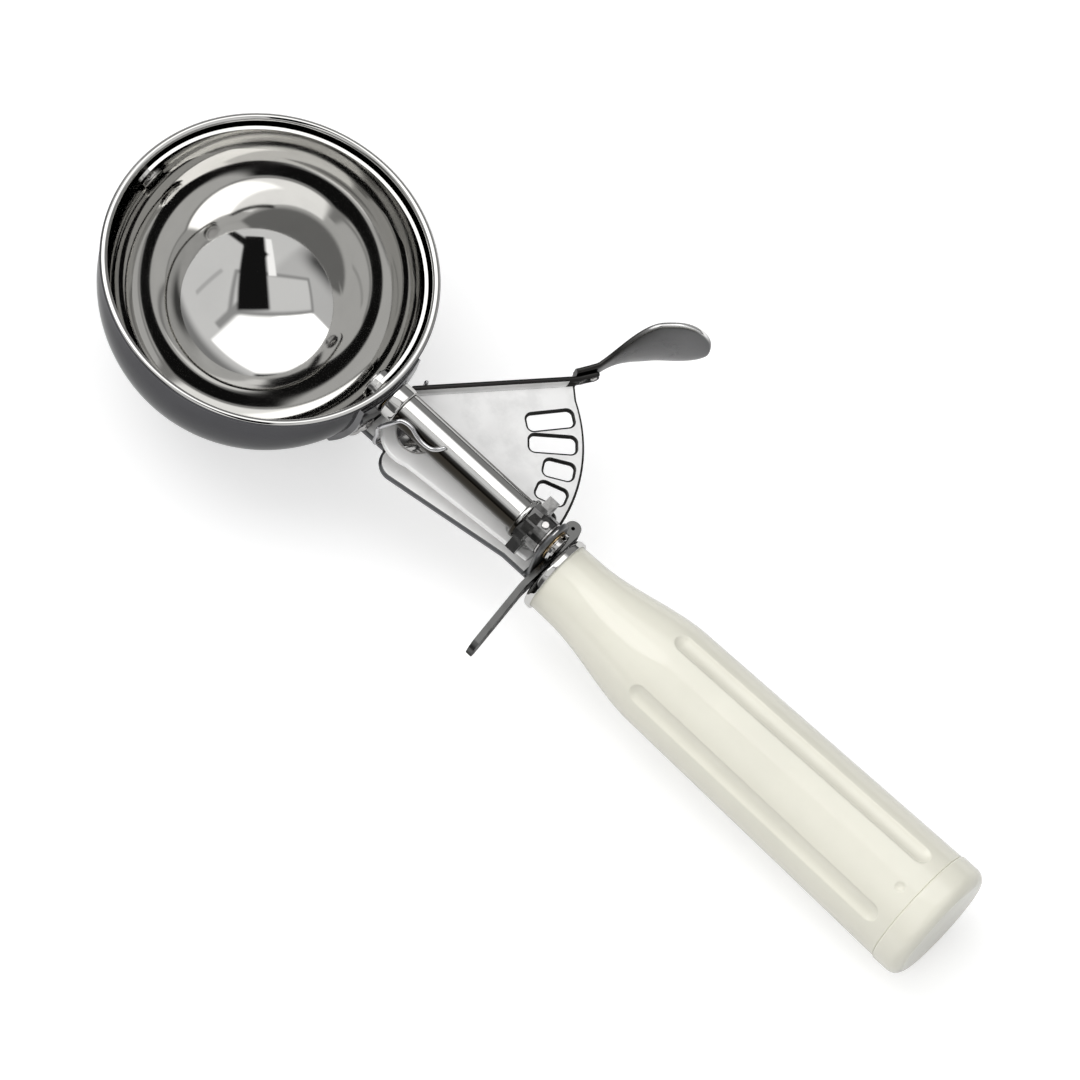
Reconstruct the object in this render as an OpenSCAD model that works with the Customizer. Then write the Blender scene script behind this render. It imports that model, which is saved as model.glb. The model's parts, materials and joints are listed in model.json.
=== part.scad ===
// Lever ice cream scoop: a thumb lever turns a scraper blade through a toothed sector.
// The origin is the centre of the handle's flat end. X runs along the handle, away from
// the bowl, Y points to the side of the thumb lever and Z out of the mouth of the bowl.

/* [Bowl] */
// Inner radius of the bowl
bowl_r = 32.8; // [31:0.1:36]
// Wall of the bowl
bowl_t = 0.8; // [0.6:0.1:1.2]
// Straight band from the scraper's axis up to the rim
band_h = 6.2; // [5.4:0.1:9]
// Radius of the rolled rim
rim_roll_r = 0.8; // [0.6:0.1:1.1]

/* [Saddle] */
// Thickness of the saddle on the outside of the bowl
saddle_t = 1.2; // [0.8:0.1:1.6]
// Width of the saddle
saddle_w = 17; // [15:0.5:20]
// Height of the saddle above the scraper's axis
saddle_up = 3.6; // [2:0.1:4.4]
// Depth of the saddle below the scraper's axis
saddle_down = 17; // [16:0.5:20]
// Radius of the rivets through saddle and bowl
rivet_r = 1.2; // [0.8:0.1:1.5]
// Radius of the rivet heads
rivet_head_r = 2; // [1.8:0.1:2.2]
// Height of the rivet heads
rivet_head_h = 1; // [0.6:0.1:1.2]

/* [Scraper] */
// Width of the scraper blade
blade_w = 9; // [7:0.5:10]
// Thickness of the scraper blade
blade_t = 0.7; // [0.5:0.1:1]
// Gap between blade and bowl
blade_gap = 0.4; // [0.35:0.05:0.6]
// Radius of the scraper shaft
shaft_r = 2.4; // [2:0.1:2.6]
// Running clearance between a shaft or pin and its bore
run_gap = 0.07; // [0.03:0.01:0.1]
// Length of the hub that holds the blade on the shaft
blade_hub_len = 1.6; // [1.2:0.1:2.4]
// Radius of the hub that holds the blade on the shaft
blade_hub_r = 3.6; // [3.2:0.1:4]
// Radius of the pin at the tip of the bowl
tip_pin_r = 1.5; // [1.2:0.1:1.8]
// Radius of the domed head of the tip pin
tip_head_r = 2.7; // [2.4:0.1:3]
// Height of the domed head of the tip pin
tip_head_h = 0.9; // [0.6:0.1:1.2]
// Thickness of the washer on the tip pin
tip_washer_t = 0.4; // [0.3:0.1:0.6]
// Radius of the washer on the tip pin
tip_washer_r = 3.3; // [3:0.1:3.8]

/* [Shank] */
// Height of the scraper's axis above the handle's axis
shaft_rise = 9.8; // [9.6:0.1:10.6]
// Distance from the lever's pivot to the saddle
pivot_room = 7.8; // [7.5:0.1:9]
// Outer radius of the tube
tube_r = 3.65; // [3.5:0.05:4.2]
// Wall of the tube
tube_t = 0.65; // [0.5:0.05:0.9]
// Length of the collar between saddle and tube
collar_len = 3.2; // [2.6:0.1:4]
// Outer radius of the collar
collar_r = 4.1; // [3.9:0.1:4.6]
// Length of the flared end of the tube
flare_len = 1; // [0.6:0.1:1.4]
// Radius of the flared end of the tube
flare_r = 4.6; // [4.3:0.1:5]

/* [Drive] */
// Gear module of pinion and sector
gear_module = 1.824; // [1.81:0.002:1.84]
// Angle of the first slot of the sector
first_slot = -1.2; // [-2:0.1:0]
// Length of the pinion's teeth along the shaft
tooth_len = 2.4; // [2:0.1:2.8]
// Height of the teeth above the pitch circle
tooth_top = 1.23; // [1:0.01:1.25]
// Thickness of a tooth at the pitch circle
tooth_w = 2.2; // [1.9:0.1:2.3]
// Thickness of a tooth at its tip
tooth_tip_w = 1.4; // [1:0.1:1.5]
// Radius of the pinion's hub
hub_r = 3.9; // [3.6:0.1:4]
// Length of the pinion's hub behind the teeth
hub_len = 2.6; // [2.2:0.1:2.8]
// Radius of the cross pin through pinion and shaft
cross_pin_r = 0.8; // [0.6:0.1:0.9]
// Thickness of the thrust washer
washer_t = 0.5; // [0.3:0.1:0.5]
// Gap at each end of the turning drive
end_gap = 0.3; // [0.2:0.05:0.3]
// Thickness of the clip on the shaft's end
clip_t = 0.7; // [0.5:0.1:0.7]
// Outer radius of the clip
clip_r = 3.3; // [3:0.1:3.5]
// Depth of the clip's groove in the shaft
groove_depth = 0.4; // [0.3:0.1:0.6]

/* [Sector lever] */
// Thickness of the lever's sheet
lever_t = 1.2; // [1:0.1:1.3]
// Outer radius of the sector
sector_r = 33.9; // [33:0.1:34.2]
// Radius of the sector's hub round the pivot
lever_hub_r = 7.4; // [6.5:0.1:7.6]
// Distance of the straight edge from the pivot
edge_offset = 10; // [9:0.1:10.4]
// Direction of the straight edge
edge_angle = 50.7; // [48:0.1:53]
// Length of the straight edge
edge_len = 33.7; // [32.6:0.1:35]
// Height of the flange on the straight edge
flange_h = 2.8; // [2:0.1:3.4]
// Angle of the sector's free edge
free_edge_angle = -7; // [-9:0.5:-6]
// Width of a slot
slot_w = 3.5; // [3.3:0.1:3.7]
// Length of the short slots
short_slot = 5.9; // [5:0.1:6.5]
// Length of the long slots
long_slot = 9.3; // [8:0.1:11]
// Radius at which the slots end
slot_end_r = 32.1; // [31.9:0.1:32.3]
// Corner radius of the slots
slot_corner_r = 1.1; // [0.6:0.1:1.5]
// Radius of the pivot post
post_r = 2.5; // [2:0.1:2.8]
// Outer radius of the pivot bushing
pivot_bush_r = 3.9; // [3.6:0.1:4]
// Radius of the pivot post's head
post_head_r = 4.2; // [3.8:0.1:4.6]
// Thickness of the pivot post's head
post_head_t = 0.45; // [0.3:0.05:0.6]
// Height of the pivot post's riveted end
post_end_h = 1.2; // [0.8:0.1:1.5]
// Length of the tongue that carries the thumb pad
tongue_len = 5; // [4.4:0.1:6]
// Bend of the tongue away from the straight edge
tongue_bend = 10; // [5:1:15]

/* [Thumb pad] */
// Thickness of the thumb pad
pad_t = 1.2; // [1:0.1:1.6]
// Height of the thumb pad
pad_h = 16.5; // [13:0.5:19]
// Height of the pad's neck
pad_neck_h = 4.2; // [3.6:0.1:5]
// Reach of the pad past the tongue, along the lever
pad_out_x = 13.4; // [11:0.1:16]
// Reach of the pad past the tongue, across the lever
pad_out_y = 18.8; // [16:0.1:22]

/* [Return spring] */
// Wire of the spring
wire_d = 0.9; // [0.7:0.05:0.9]
// Gap between the spring and its neighbours
spring_gap = 0.12; // [0.08:0.02:0.14]

/* [Frame plate] */
// Thickness of the frame plate
plate_t = 1.5; // [1.2:0.1:1.6]
// Half width of the plate's lobe beside the pivot
lobe_w = 9.4; // [8.6:0.1:10.5]
// Distance from the pivot to the lobe's front
lobe_front = 3; // [2:0.1:4]
// Corner radius of the lobe's front
lobe_corner = 4; // [3:0.1:5]
// Half width of the plate's neck at the saddle
plate_neck = 5.4; // [4:0.1:5.6]
// Half width of the plate at the rear ear
plate_rear = 4.9; // [4.8:0.1:6]
// Length of the parallel end of the plate
plate_end_len = 7; // [4:0.5:12]
// Thickness of the rear ear
ear_t = 1.2; // [1:0.1:1.4]
// Gap from the rear ear to the ferrule
ear_gap = 1.9; // [1.8:0.1:2.4]
// Half width of the rear ear
ear_r = 4.8; // [4.4:0.1:5.2]
// Half width of the tang
tang_w = 4.4; // [3.5:0.1:4.8]
// Length of the tang inside the handle
tang_len = 46; // [30:1:60]

/* [Finger rest] */
// Thickness of the finger rest
rest_t = 1.3; // [1:0.1:1.3]
// Height of the finger rest
rest_h = 5.2; // [4:0.1:5.2]
// Reach of the finger rest from the handle's axis
rest_reach = 27; // [22:0.5:32]
// Slant of the finger rest's free end
rest_slant = 6.5; // [0:0.5:10]
// Gap from the ferrule's rim to the bend of the finger rest
rest_room = 0.6; // [0.4:0.1:1.2]
// Radius of the curl at its short end
curl_r = 1.7; // [1.5:0.1:1.9]
// How far the curl stands out past the handle's neck
curl_out = 1.2; // [0.8:0.1:2]

/* [Handle] */
// Length of the handle behind the ferrule, end cap included
handle_len = 103.9; // [97:0.1:112]
// Radius of the handle's neck
neck_r = 7.8; // [7.2:0.1:8.4]
// Gain in radius over the handle's shoulder
shoulder_gain = 3.2; // [2.6:0.1:3.6]
// Length of the straight neck
neck_len = 4.9; // [2:0.1:8]
// Distance from the front of the neck to the end of the shoulder
shoulder_len = 29.9; // [22:0.1:34]
// Gain in radius for each millimetre of handle
taper = 0.022; // [0.01:0.001:0.025]
// Length of the end cap
cap_len = 6.5; // [5:0.1:9]
// Height of the end cap over the handle
cap_proud = 0.25; // [0.1:0.05:0.6]
// Fillet of the end cap
cap_fillet = 2.6; // [1:0.1:3.2]
// Radius of the spigot that holds the end cap
spigot_r = 8; // [6:0.5:9]
// Length of the spigot
spigot_len = 6; // [4:0.5:10]
// Number of flutes
flutes = 5; // [3:1:8]
// Angle of the first flute from Z towards Y
flute_angle = 13; // [0:1:40]
// Width of a flute
flute_w = 4.6; // [3:0.1:6]
// Depth of a flute
flute_depth = 1; // [0.6:0.1:1.4]
// Distance from the handle's end to a flute's rear end
flute_end = 9.6; // [8.5:0.1:14]
// Length of a flute
flute_len = 67.4; // [50:0.1:70]
// Radius of the dimple between two flutes
dimple_r = 1.1; // [0.8:0.1:1.6]
// Depth of the dimple
dimple_depth = 0.5; // [0.3:0.1:0.7]
// Distance from the end cap to the dimple
dimple_room = 3.6; // [2.5:0.1:8]

/* [Ferrule] */
// Length of the ferrule
ferrule_len = 1.8; // [1.6:0.1:4]
// Wall of the ferrule
ferrule_t = 0.6; // [0.5:0.1:0.8]
// Corner radius of the ferrule
ferrule_fillet = 0.9; // [0.6:0.1:1.2]

/* [Hidden] */
$fn = 96;

// Places along X, from the handle's end to the drive
shaft_z = shaft_rise;
neck_x = -handle_len;
ferrule_x = neck_x - ferrule_len;
ear_back = ferrule_x - ear_gap;
ear_x = ear_back - ear_t;
// Face gap of turning pieces, and of pieces that a rivet draws together
play = 0.1;
seat = 0.03;
drive_len = end_gap + tooth_len + hub_len + washer_t + 2 * play;
tube_end = ear_x - drive_len;

// Gear pair: the pinion's teeth drop into the sector's slots from above
pinion_teeth = 6;
wheel_teeth = 33;
gear_ratio = wheel_teeth / pinion_teeth;
slot_pitch = 360 / wheel_teeth;
pinion_pitch_r = gear_module * pinion_teeth / 2;
wheel_pitch_r = gear_module * wheel_teeth / 2;
teeth_x = tube_end + end_gap;
pivot_x = teeth_x + tooth_len / 2 - wheel_pitch_r;
sector_z = shaft_z - pinion_pitch_r - lever_t / 2;
sector_top = sector_z + lever_t;
plate_top = plate_t / 2;

// Places along X, from the pivot to the bowl
collar_x = pivot_x - pivot_room;
tube_x = collar_x + collar_len;
tube_len = tube_end - flare_len - tube_x;
bowl_x = collar_x - saddle_t - bowl_t - bowl_r;
bowl_out = bowl_r + bowl_t;
saddle_out = bowl_out + saddle_t;

// Bores and what fits them
bush_r = tube_r - tube_t;
shaft_bore_r = shaft_r + run_gap;
blade_out = bowl_r - blade_gap;
blade_in = blade_out - blade_t;
blade_hub_x = sqrt(blade_in * blade_in - blade_hub_r * blade_hub_r) - 2 * seat;
shaft_front = bowl_x + blade_hub_x - blade_hub_len - 4 * play;
bush_flange_t = 0.3;
clip_x = ear_back + bush_flange_t + end_gap;
groove_r = shaft_r - groove_depth;
shaft_end = clip_x + clip_t + 2 * play;
tip_inner_t = 0.8;
tip_inner_x = blade_in - 4 * play;
tip_washer_x = bowl_out + seat;

// Spring space between plate and sector
wire_room = spring_gap + wire_d / 2;
coil_r = pivot_bush_r + wire_room;
coil_z = plate_top + wire_room;
coil_top = sector_z - wire_room;

function arc(c, r, a0, a1, n = 8) =
    [for (i = [0:n]) let (a = a0 + (a1 - a0) * i / n) c + r * [cos(a), sin(a)]];
function smooth(t) = let (u = min(max(t, 0), 1)) u * u * (3 - 2 * u);
function unit(v) = v / norm(v);
function bezier(p, t) = pow(1 - t, 3) * p[0] + 3 * t * pow(1 - t, 2) * p[1]
    + 3 * t * t * (1 - t) * p[2] + pow(t, 3) * p[3];
function bezier_points(p, n) = [for (i = [0:n]) bezier(p, i / n)];
function tangent(p, i) = unit(p[min(i + 1, len(p) - 1)] - p[max(i - 1, 0)]);
function side_normal(p, i) = let (t = tangent(p, i)) [-t[1], t[0]];
function ribbon(p, w) = concat(
    [for (i = [0:len(p) - 1]) p[i] + side_normal(p, i) * w / 2],
    [for (i = [len(p) - 1:-1:0]) p[i] - side_normal(p, i) * w / 2]);

// Handle radius at a place x, 0 at the handle's end and negative towards the bowl
function handle_r(x) = let (d = x - neck_x)
    neck_r + taper * d + shoulder_gain * smooth((d - neck_len) / (shoulder_len - neck_len));

// A ring or rod along X, from x to x + len
module rod(x, len, r) translate([x, 0, 0]) rotate([0, 90, 0]) cylinder(h = len, r = r);
module revolve_x(points) rotate([0, 90, 0]) rotate_extrude() polygon(points);
module on_shaft() translate([0, 0, shaft_z]) children();
module at_bowl() translate([bowl_x, 0, shaft_z]) children();
module at_pivot(z = 0) translate([pivot_x, 0, z]) children();

// Section of a round shell: a quarter circle with a straight band on top
module shell_section(r, t, top) {
    intersection() {
        difference() {
            circle(r + t);
            circle(r);
        }
        translate([0, -r - t]) square([r + t, r + t]);
    }
    translate([r, 0]) square([t, top]);
}

// Places of the saddle's rivets: angle round Z and angle below the axis
saddle_rivet_spots = [[-9, 10.5], [-8, 22.5], [8, 22.5]];
module at_saddle_rivets()
    for (spot = saddle_rivet_spots)
        rotate([0, 0, spot[0]]) rotate([0, spot[1], 0]) children();

module bowl()
    color("silver") at_bowl() difference() {
        rotate_extrude() {
            shell_section(bowl_r, bowl_t, band_h - rim_roll_r);
            translate([bowl_r + rim_roll_r, band_h - rim_roll_r]) circle(rim_roll_r);
        }
        rod(bowl_r - 2, bowl_t + 4, bush_r);
        rod(-bowl_out - 2, bowl_t + 4, tip_pin_r);
        at_saddle_rivets() rod(bowl_r - 2, bowl_t + 4, rivet_r);
    }

module bowl_saddle()
    color("lightgray") at_bowl() difference() {
        intersection() {
            rotate_extrude() shell_section(bowl_out, saddle_t, saddle_up);
            translate([0, -saddle_w / 2, -saddle_down])
                cube([saddle_out + 1, saddle_w, saddle_down + saddle_up]);
        }
        rod(bowl_out - 2, saddle_t + 4, bush_r);
        at_saddle_rivets() rod(bowl_out - 2, saddle_t + 4, rivet_r);
    }

// Section of a domed head: from its base of radius r at x = 0 to its top at x = h
function dome(r, h, n = 6) = let (ball = (r * r + h * h) / (2 * h), a = atan2(r, ball - h))
    [for (i = [0:n]) [ball * sin(a * (1 - i / n)), h - ball + ball * cos(a * (1 - i / n))]];
// A rivet along X: a shank that ends at x = 0 and a domed head behind it
module rivet(shank_r, shank_len, head_r, head_h)
    revolve_x(concat([[0, -shank_len], [shank_r, -shank_len], [shank_r, 0]], dome(head_r, head_h)));

module saddle_rivets()
    color("gray") at_bowl() at_saddle_rivets() translate([saddle_out, 0, 0])
        rivet(rivet_r, bowl_t + saddle_t - seat, rivet_head_r, rivet_head_h);

module front_bushing()
    color("goldenrod") on_shaft() difference() {
        rod(bowl_x + bowl_r + play, tube_x - bowl_x - bowl_r - play, bush_r);
        rod(bowl_x, tube_x - bowl_x + 1, shaft_bore_r);
    }

module front_collar()
    color("silver") on_shaft() difference() {
        rod(collar_x, collar_len, collar_r);
        rod(collar_x - 1, collar_len + 2, bush_r);
    }

module shank_tube()
    color("silver") on_shaft() difference() {
        union() {
            rod(tube_x, tube_len + flare_len, tube_r);
            rod(tube_end - flare_len, flare_len, flare_r);
        }
        rod(tube_x - 1, tube_len + flare_len + 2, bush_r);
    }

// One edge of the frame plate: its neck, the round corner of its lobe and the taper to the ear
plate_front = bowl_x + bowl_r - plate_neck;
plate_waist_x = ear_back - plate_end_len;
lobe_centre = [pivot_x - lobe_front + lobe_corner, lobe_w - lobe_corner];
plate_taper = atan2(lobe_w - plate_rear, plate_waist_x - lobe_centre[0]);
plate_edge = concat([[plate_front, plate_neck], [pivot_x - lobe_front, plate_neck]],
    arc(lobe_centre, lobe_corner, 180, 90 - plate_taper, 12),
    [[plate_waist_x, plate_rear], [ear_back, plate_rear]]);

module plate_outline() difference() {
    union() {
        polygon(concat(plate_edge,
            [for (i = [len(plate_edge) - 1:-1:0]) [plate_edge[i][0], -plate_edge[i][1]]]));
        translate([ear_back - 1, -tang_w]) square([1 + ear_gap + ferrule_len + tang_len, 2 * tang_w]);
    }
    translate([pivot_x, 0]) circle(post_r);
}

module frame_plate()
    color("lightgray") difference() {
        union() {
            translate([0, 0, -plate_t / 2]) linear_extrude(plate_t) plate_outline();
            translate([ear_x, 0, 0]) rotate([90, 0, 90]) linear_extrude(ear_t) {
                translate([-ear_r, -plate_t / 2]) square([2 * ear_r, shaft_z + plate_t / 2]);
                translate([0, shaft_z]) circle(ear_r);
            }
        }
        at_bowl() sphere(saddle_out);
        on_shaft() rod(ear_x - 1, ear_t + 2, bush_r);
        at_rest_rivets() cylinder(h = 4, r = rest_rivet_r, center = true);
    }

module rear_bushing()
    color("goldenrod") on_shaft() difference() {
        union() {
            rod(ear_x, ear_t + bush_flange_t, bush_r);
            rod(ear_back, bush_flange_t, bush_r + bush_flange_t);
        }
        rod(ear_x - 1, ear_t + 3, shaft_bore_r);
    }

// The post points down from its flat head over the sector to its riveted end under the plate
post_neck = -sector_top - play;
module pivot_post()
    color("gray") at_pivot() rotate([0, 90, 0]) revolve_x(concat(
        [[0, post_neck - post_head_t], [post_head_r, post_neck - post_head_t],
            [post_head_r, post_neck], [post_r, post_neck], [post_r, plate_top]],
        [for (p = dome(post_head_r, post_end_h)) p + [0, plate_top]]));

module tip_pin()
    color("gray") at_bowl() rotate([0, 0, 180]) revolve_x(concat(
        [[0, tip_inner_x - tip_inner_t], [tip_pin_r + 1, tip_inner_x - tip_inner_t],
            [tip_pin_r + 1, tip_inner_x], [tip_pin_r, tip_inner_x],
            [tip_pin_r, tip_washer_x + tip_washer_t]],
        [for (p = dome(tip_head_r, tip_head_h)) p + [0, tip_washer_x + tip_washer_t]]));

module tip_washer()
    color("silver") at_bowl() rotate([0, 0, 180]) difference() {
        rod(tip_washer_x, tip_washer_t, tip_washer_r);
        rod(bowl_out - 1, tip_washer_t + 2, tip_pin_r);
    }

// Finger rest: an upright strip across the frame plate with one long, slanted end
rest_x = (ear_back + ferrule_x) / 2;
rest_bend_y = -neck_r - ferrule_t - rest_room;
rest_rivet_r = 0.4;
rest_rivet_len = 1.6;
rest_rivet_y = 3;
curl_x = rest_x + rest_t / 2 - play - curl_r;
curl_y = neck_r + curl_out - curl_r;
rest_path = [[rest_x, curl_y], [rest_x, rest_bend_y],
    [rest_x + (rest_reach + rest_bend_y) * tan(rest_slant), -rest_reach]];
module at_rest_rivets()
    for (side = [-1, 1]) translate([rest_x, side * rest_rivet_y, 0]) children();

module finger_rest()
    color("lightgray") difference() {
        intersection() {
            union() {
                translate([0, 0, plate_top]) linear_extrude(rest_h)
                    polygon(ribbon(rest_path, rest_t));
                translate([curl_x, curl_y, plate_top]) cylinder(h = rest_h, r = curl_r);
            }
            translate([rest_x - 30, 0, plate_top]) rotate([90, 0, 90]) linear_extrude(60)
                polygon(concat([[curl_y + curl_r + 1, rest_h]],
                    arc([rest_h / 2 - rest_reach, rest_h / 2], rest_h / 2, 90, 270, 16),
                    [[curl_y + curl_r + 1, 0]]));
        }
        translate([curl_x, curl_y, 0]) cylinder(h = plate_top + rest_h + 1, r = curl_r - rest_t);
        at_rest_rivets() cylinder(h = plate_top + rest_rivet_len, r = rest_rivet_r);
    }

module rest_rivets()
    color("gray") at_rest_rivets() translate([0, 0, -plate_top]) rotate([0, 90, 0])
        rivet(rest_rivet_r, plate_t + rest_rivet_len, 2 * rest_rivet_r, 0.4);

module tang_hole(x0, x1)
    translate([x0, -tang_w, -plate_t / 2]) cube([x1 - x0, 2 * tang_w, plate_t]);

ferrule_r = neck_r + ferrule_t;
ferrule_chamfer = (ferrule_len - ferrule_t) / 2;
module ferrule()
    color("silver") difference() {
        revolve_x(concat([[0, ferrule_x]],
            arc([ferrule_r - ferrule_fillet, ferrule_x + ferrule_fillet], ferrule_fillet, -90, 0),
            [[ferrule_r, neck_x], [neck_r, neck_x],
                [neck_r, ferrule_x + ferrule_t + ferrule_chamfer],
                [neck_r - ferrule_chamfer, ferrule_x + ferrule_t], [0, ferrule_x + ferrule_t]]));
        tang_hole(ferrule_x - 1, neck_x);
    }

cap_x = -cap_len;
cap_r = handle_r(cap_x) + cap_proud;
flute_ball_r = (flute_w * flute_w / 4 + flute_depth * flute_depth) / (2 * flute_depth);
flute_x1 = -flute_end - flute_w / 2;
flute_x0 = -flute_end - flute_len + flute_w / 2;

// Groove with ball ends, sunk along the tapered grip
module flute() {
    reach = flute_ball_r - flute_depth;
    slope = atan2(handle_r(flute_x1) - handle_r(flute_x0), flute_x1 - flute_x0);
    len = norm([flute_x1 - flute_x0, handle_r(flute_x1) - handle_r(flute_x0)]);
    translate([flute_x0, 0, handle_r(flute_x0) + reach]) rotate([0, -slope, 0]) {
        rod(0, len, flute_ball_r);
        sphere(flute_ball_r);
        translate([len, 0, 0]) sphere(flute_ball_r);
    }
}

// Shallow dimple on the land between the first flute and the one before it
dimple_x = cap_x - dimple_room;
dimple_ball_r = (dimple_r * dimple_r + dimple_depth * dimple_depth) / (2 * dimple_depth);
module dimple()
    rotate([180 / flutes - flute_angle, 0, 0])
        translate([dimple_x, 0, handle_r(dimple_x) - dimple_depth + dimple_ball_r])
            sphere(dimple_ball_r);

module handle() {
    steps = 28;
    front = ferrule_x + ferrule_t;
    color("ivory") difference() {
        revolve_x(concat([[0, front], [neck_r - ferrule_chamfer, front],
                [neck_r, front + ferrule_chamfer], [neck_r, neck_x]],
            [for (i = [0:steps]) let (x = neck_x + (shoulder_len + 4) * i / steps) [handle_r(x), x]],
            [[handle_r(cap_x), cap_x], [0, cap_x]]));
        tang_hole(front - 1, ferrule_x + ferrule_len + tang_len);
        rod(cap_x - spigot_len - 0.2, spigot_len + 1, spigot_r);
        for (i = [0:flutes - 1]) rotate([-flute_angle - i * 360 / flutes, 0, 0]) flute();
        dimple();
    }
}

module end_cap()
    color("ivory") revolve_x(concat(
        [[0, cap_x - spigot_len], [spigot_r, cap_x - spigot_len], [spigot_r, cap_x]],
        arc([cap_r - 0.5, cap_x + 0.5], 0.5, -90, 0, 4),
        arc([cap_r - cap_fillet, -cap_fillet], cap_fillet, 0, 90), [[0, 0]]));

// Scraper blade: a strip of a sphere from the shaft round the parked side to the tip pin
module scraper_blade()
    color("silver") at_bowl() difference() {
        intersection() {
            difference() {
                sphere(blade_out);
                sphere(blade_in);
            }
            union() {
                translate([-bowl_r, 0, -blade_w / 2]) cube([2 * bowl_r, bowl_r, blade_w]);
                rod(-bowl_r, 2 * bowl_r, blade_w / 2);
            }
        }
        rod(0, bowl_r, shaft_r);
        rod(-bowl_r, bowl_r, tip_pin_r + run_gap);
    }

module blade_hub()
    color("silver") on_shaft() difference() {
        rod(bowl_x + blade_hub_x - blade_hub_len, blade_hub_len, blade_hub_r);
        rod(bowl_x, bowl_r, shaft_r);
    }

module scraper_shaft()
    color("gray") on_shaft() difference() {
        rod(shaft_front, shaft_end - shaft_front, shaft_r);
        difference() {
            rod(clip_x, clip_t, shaft_r + 1);
            rod(clip_x - 1, clip_t + 2, groove_r);
        }
        cross_hole();
    }

cross_pin_x = teeth_x + tooth_len + hub_len / 2;
module cross_hole() translate([cross_pin_x, 0, 0]) cylinder(h = 12, r = cross_pin_r, center = true);

// Tooth that points down from the shaft, with its tip a little narrower than its root
module tooth() {
    root = hub_r - 0.4;
    slope = (tooth_w - tooth_tip_w) / tooth_top / 2;
    root_w = tooth_w + 2 * slope * (pinion_pitch_r - root);
    polygon([[-root_w / 2, -root], [-tooth_tip_w / 2, -pinion_pitch_r - tooth_top],
        [tooth_tip_w / 2, -pinion_pitch_r - tooth_top], [root_w / 2, -root]]);
}

module pinion()
    color("gray") on_shaft() difference() {
        translate([teeth_x, 0, 0]) {
            rotate([90, 0, 90]) linear_extrude(tooth_len) {
                circle(hub_r);
                for (i = [0:pinion_teeth - 1])
                    rotate(gear_ratio * first_slot + i * 360 / pinion_teeth) tooth();
            }
            rod(tooth_len, hub_len, hub_r);
        }
        rod(teeth_x - 1, tooth_len + hub_len + 2, shaft_r);
        cross_hole();
    }

module cross_pin()
    color("dimgray") on_shaft() translate([cross_pin_x, 0, 0])
        cylinder(h = 2 * hub_r + 0.8, r = cross_pin_r, center = true);

module thrust_washer()
    color("silver") on_shaft() difference() {
        rod(teeth_x + tooth_len + hub_len, washer_t, hub_r - 0.2);
        rod(teeth_x, drive_len, shaft_r);
    }

module shaft_clip()
    color("dimgray") on_shaft() difference() {
        rod(clip_x, clip_t, clip_r);
        rod(clip_x - 1, clip_t + 2, groove_r);
        translate([clip_x - 1, -groove_r, 0]) cube([clip_t + 2, 2 * groove_r, 2 * clip_r]);
    }

// Straight edge of the sector, from the foot of its normal to the corner
edge_dir = [cos(edge_angle), sin(edge_angle)];
edge_out = [-sin(edge_angle), cos(edge_angle)];
edge_foot = edge_offset * edge_out;
edge_corner = edge_foot + edge_len * edge_dir;
tongue_angle = edge_angle + tongue_bend;
tongue_dir = [cos(tongue_angle), sin(tongue_angle)];
tongue_out = [-sin(tongue_angle), cos(tongue_angle)];
tongue_tip = edge_corner + tongue_len * tongue_dir;

module slot(length) {
    r = slot_corner_r;
    translate([slot_end_r - length, -slot_w / 2]) {
        translate([r, 0]) square([length - 2 * r, slot_w]);
        translate([0, r]) square([length, slot_w - 2 * r]);
        for (x = [r, length - r]) for (y = [r, slot_w - r]) translate([x, y]) circle(r);
    }
}

module sector_outline() difference() {
    union() {
        circle(lever_hub_r);
        polygon(concat([edge_foot, edge_corner],
            arc([0, 0], sector_r, edge_angle + 9, free_edge_angle, 24),
            [[0, -lever_hub_r + 0.4], [-lever_hub_r + 0.2, 0]]));
    }
    circle(pivot_bush_r);
    for (i = [0:5]) rotate(first_slot + i * slot_pitch) slot(i < 4 ? short_slot : long_slot);
}

pad_rivet_r = 0.7;
module at_pad_rivets()
    for (s = [1.3, tongue_len - 1.3])
        translate([edge_corner[0] + s * tongue_dir[0], edge_corner[1] + s * tongue_dir[1],
            sector_z + flange_h / 2]) rotate([0, 0, tongue_angle + 90]) children();

module sector_plate()
    color("lightgray") at_pivot() difference() {
        union() {
            translate([0, 0, sector_z]) linear_extrude(lever_t) sector_outline();
            translate([0, 0, sector_z]) linear_extrude(flange_h) polygon(concat(
                [edge_foot, edge_corner, tongue_tip],
                [tongue_tip - lever_t * tongue_out, edge_corner - lever_t * tongue_out,
                    edge_foot - lever_t * edge_out]));
        }
        at_pad_rivets() rod(-lever_t - 1, lever_t + 2, pad_rivet_r);
    }

module pivot_bushing()
    color("goldenrod") at_pivot() difference() {
        translate([0, 0, plate_top + play])
            cylinder(h = sector_top - plate_top - play, r = pivot_bush_r);
        cylinder(h = sector_top + 1, r = post_r + run_gap);
    }

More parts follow.
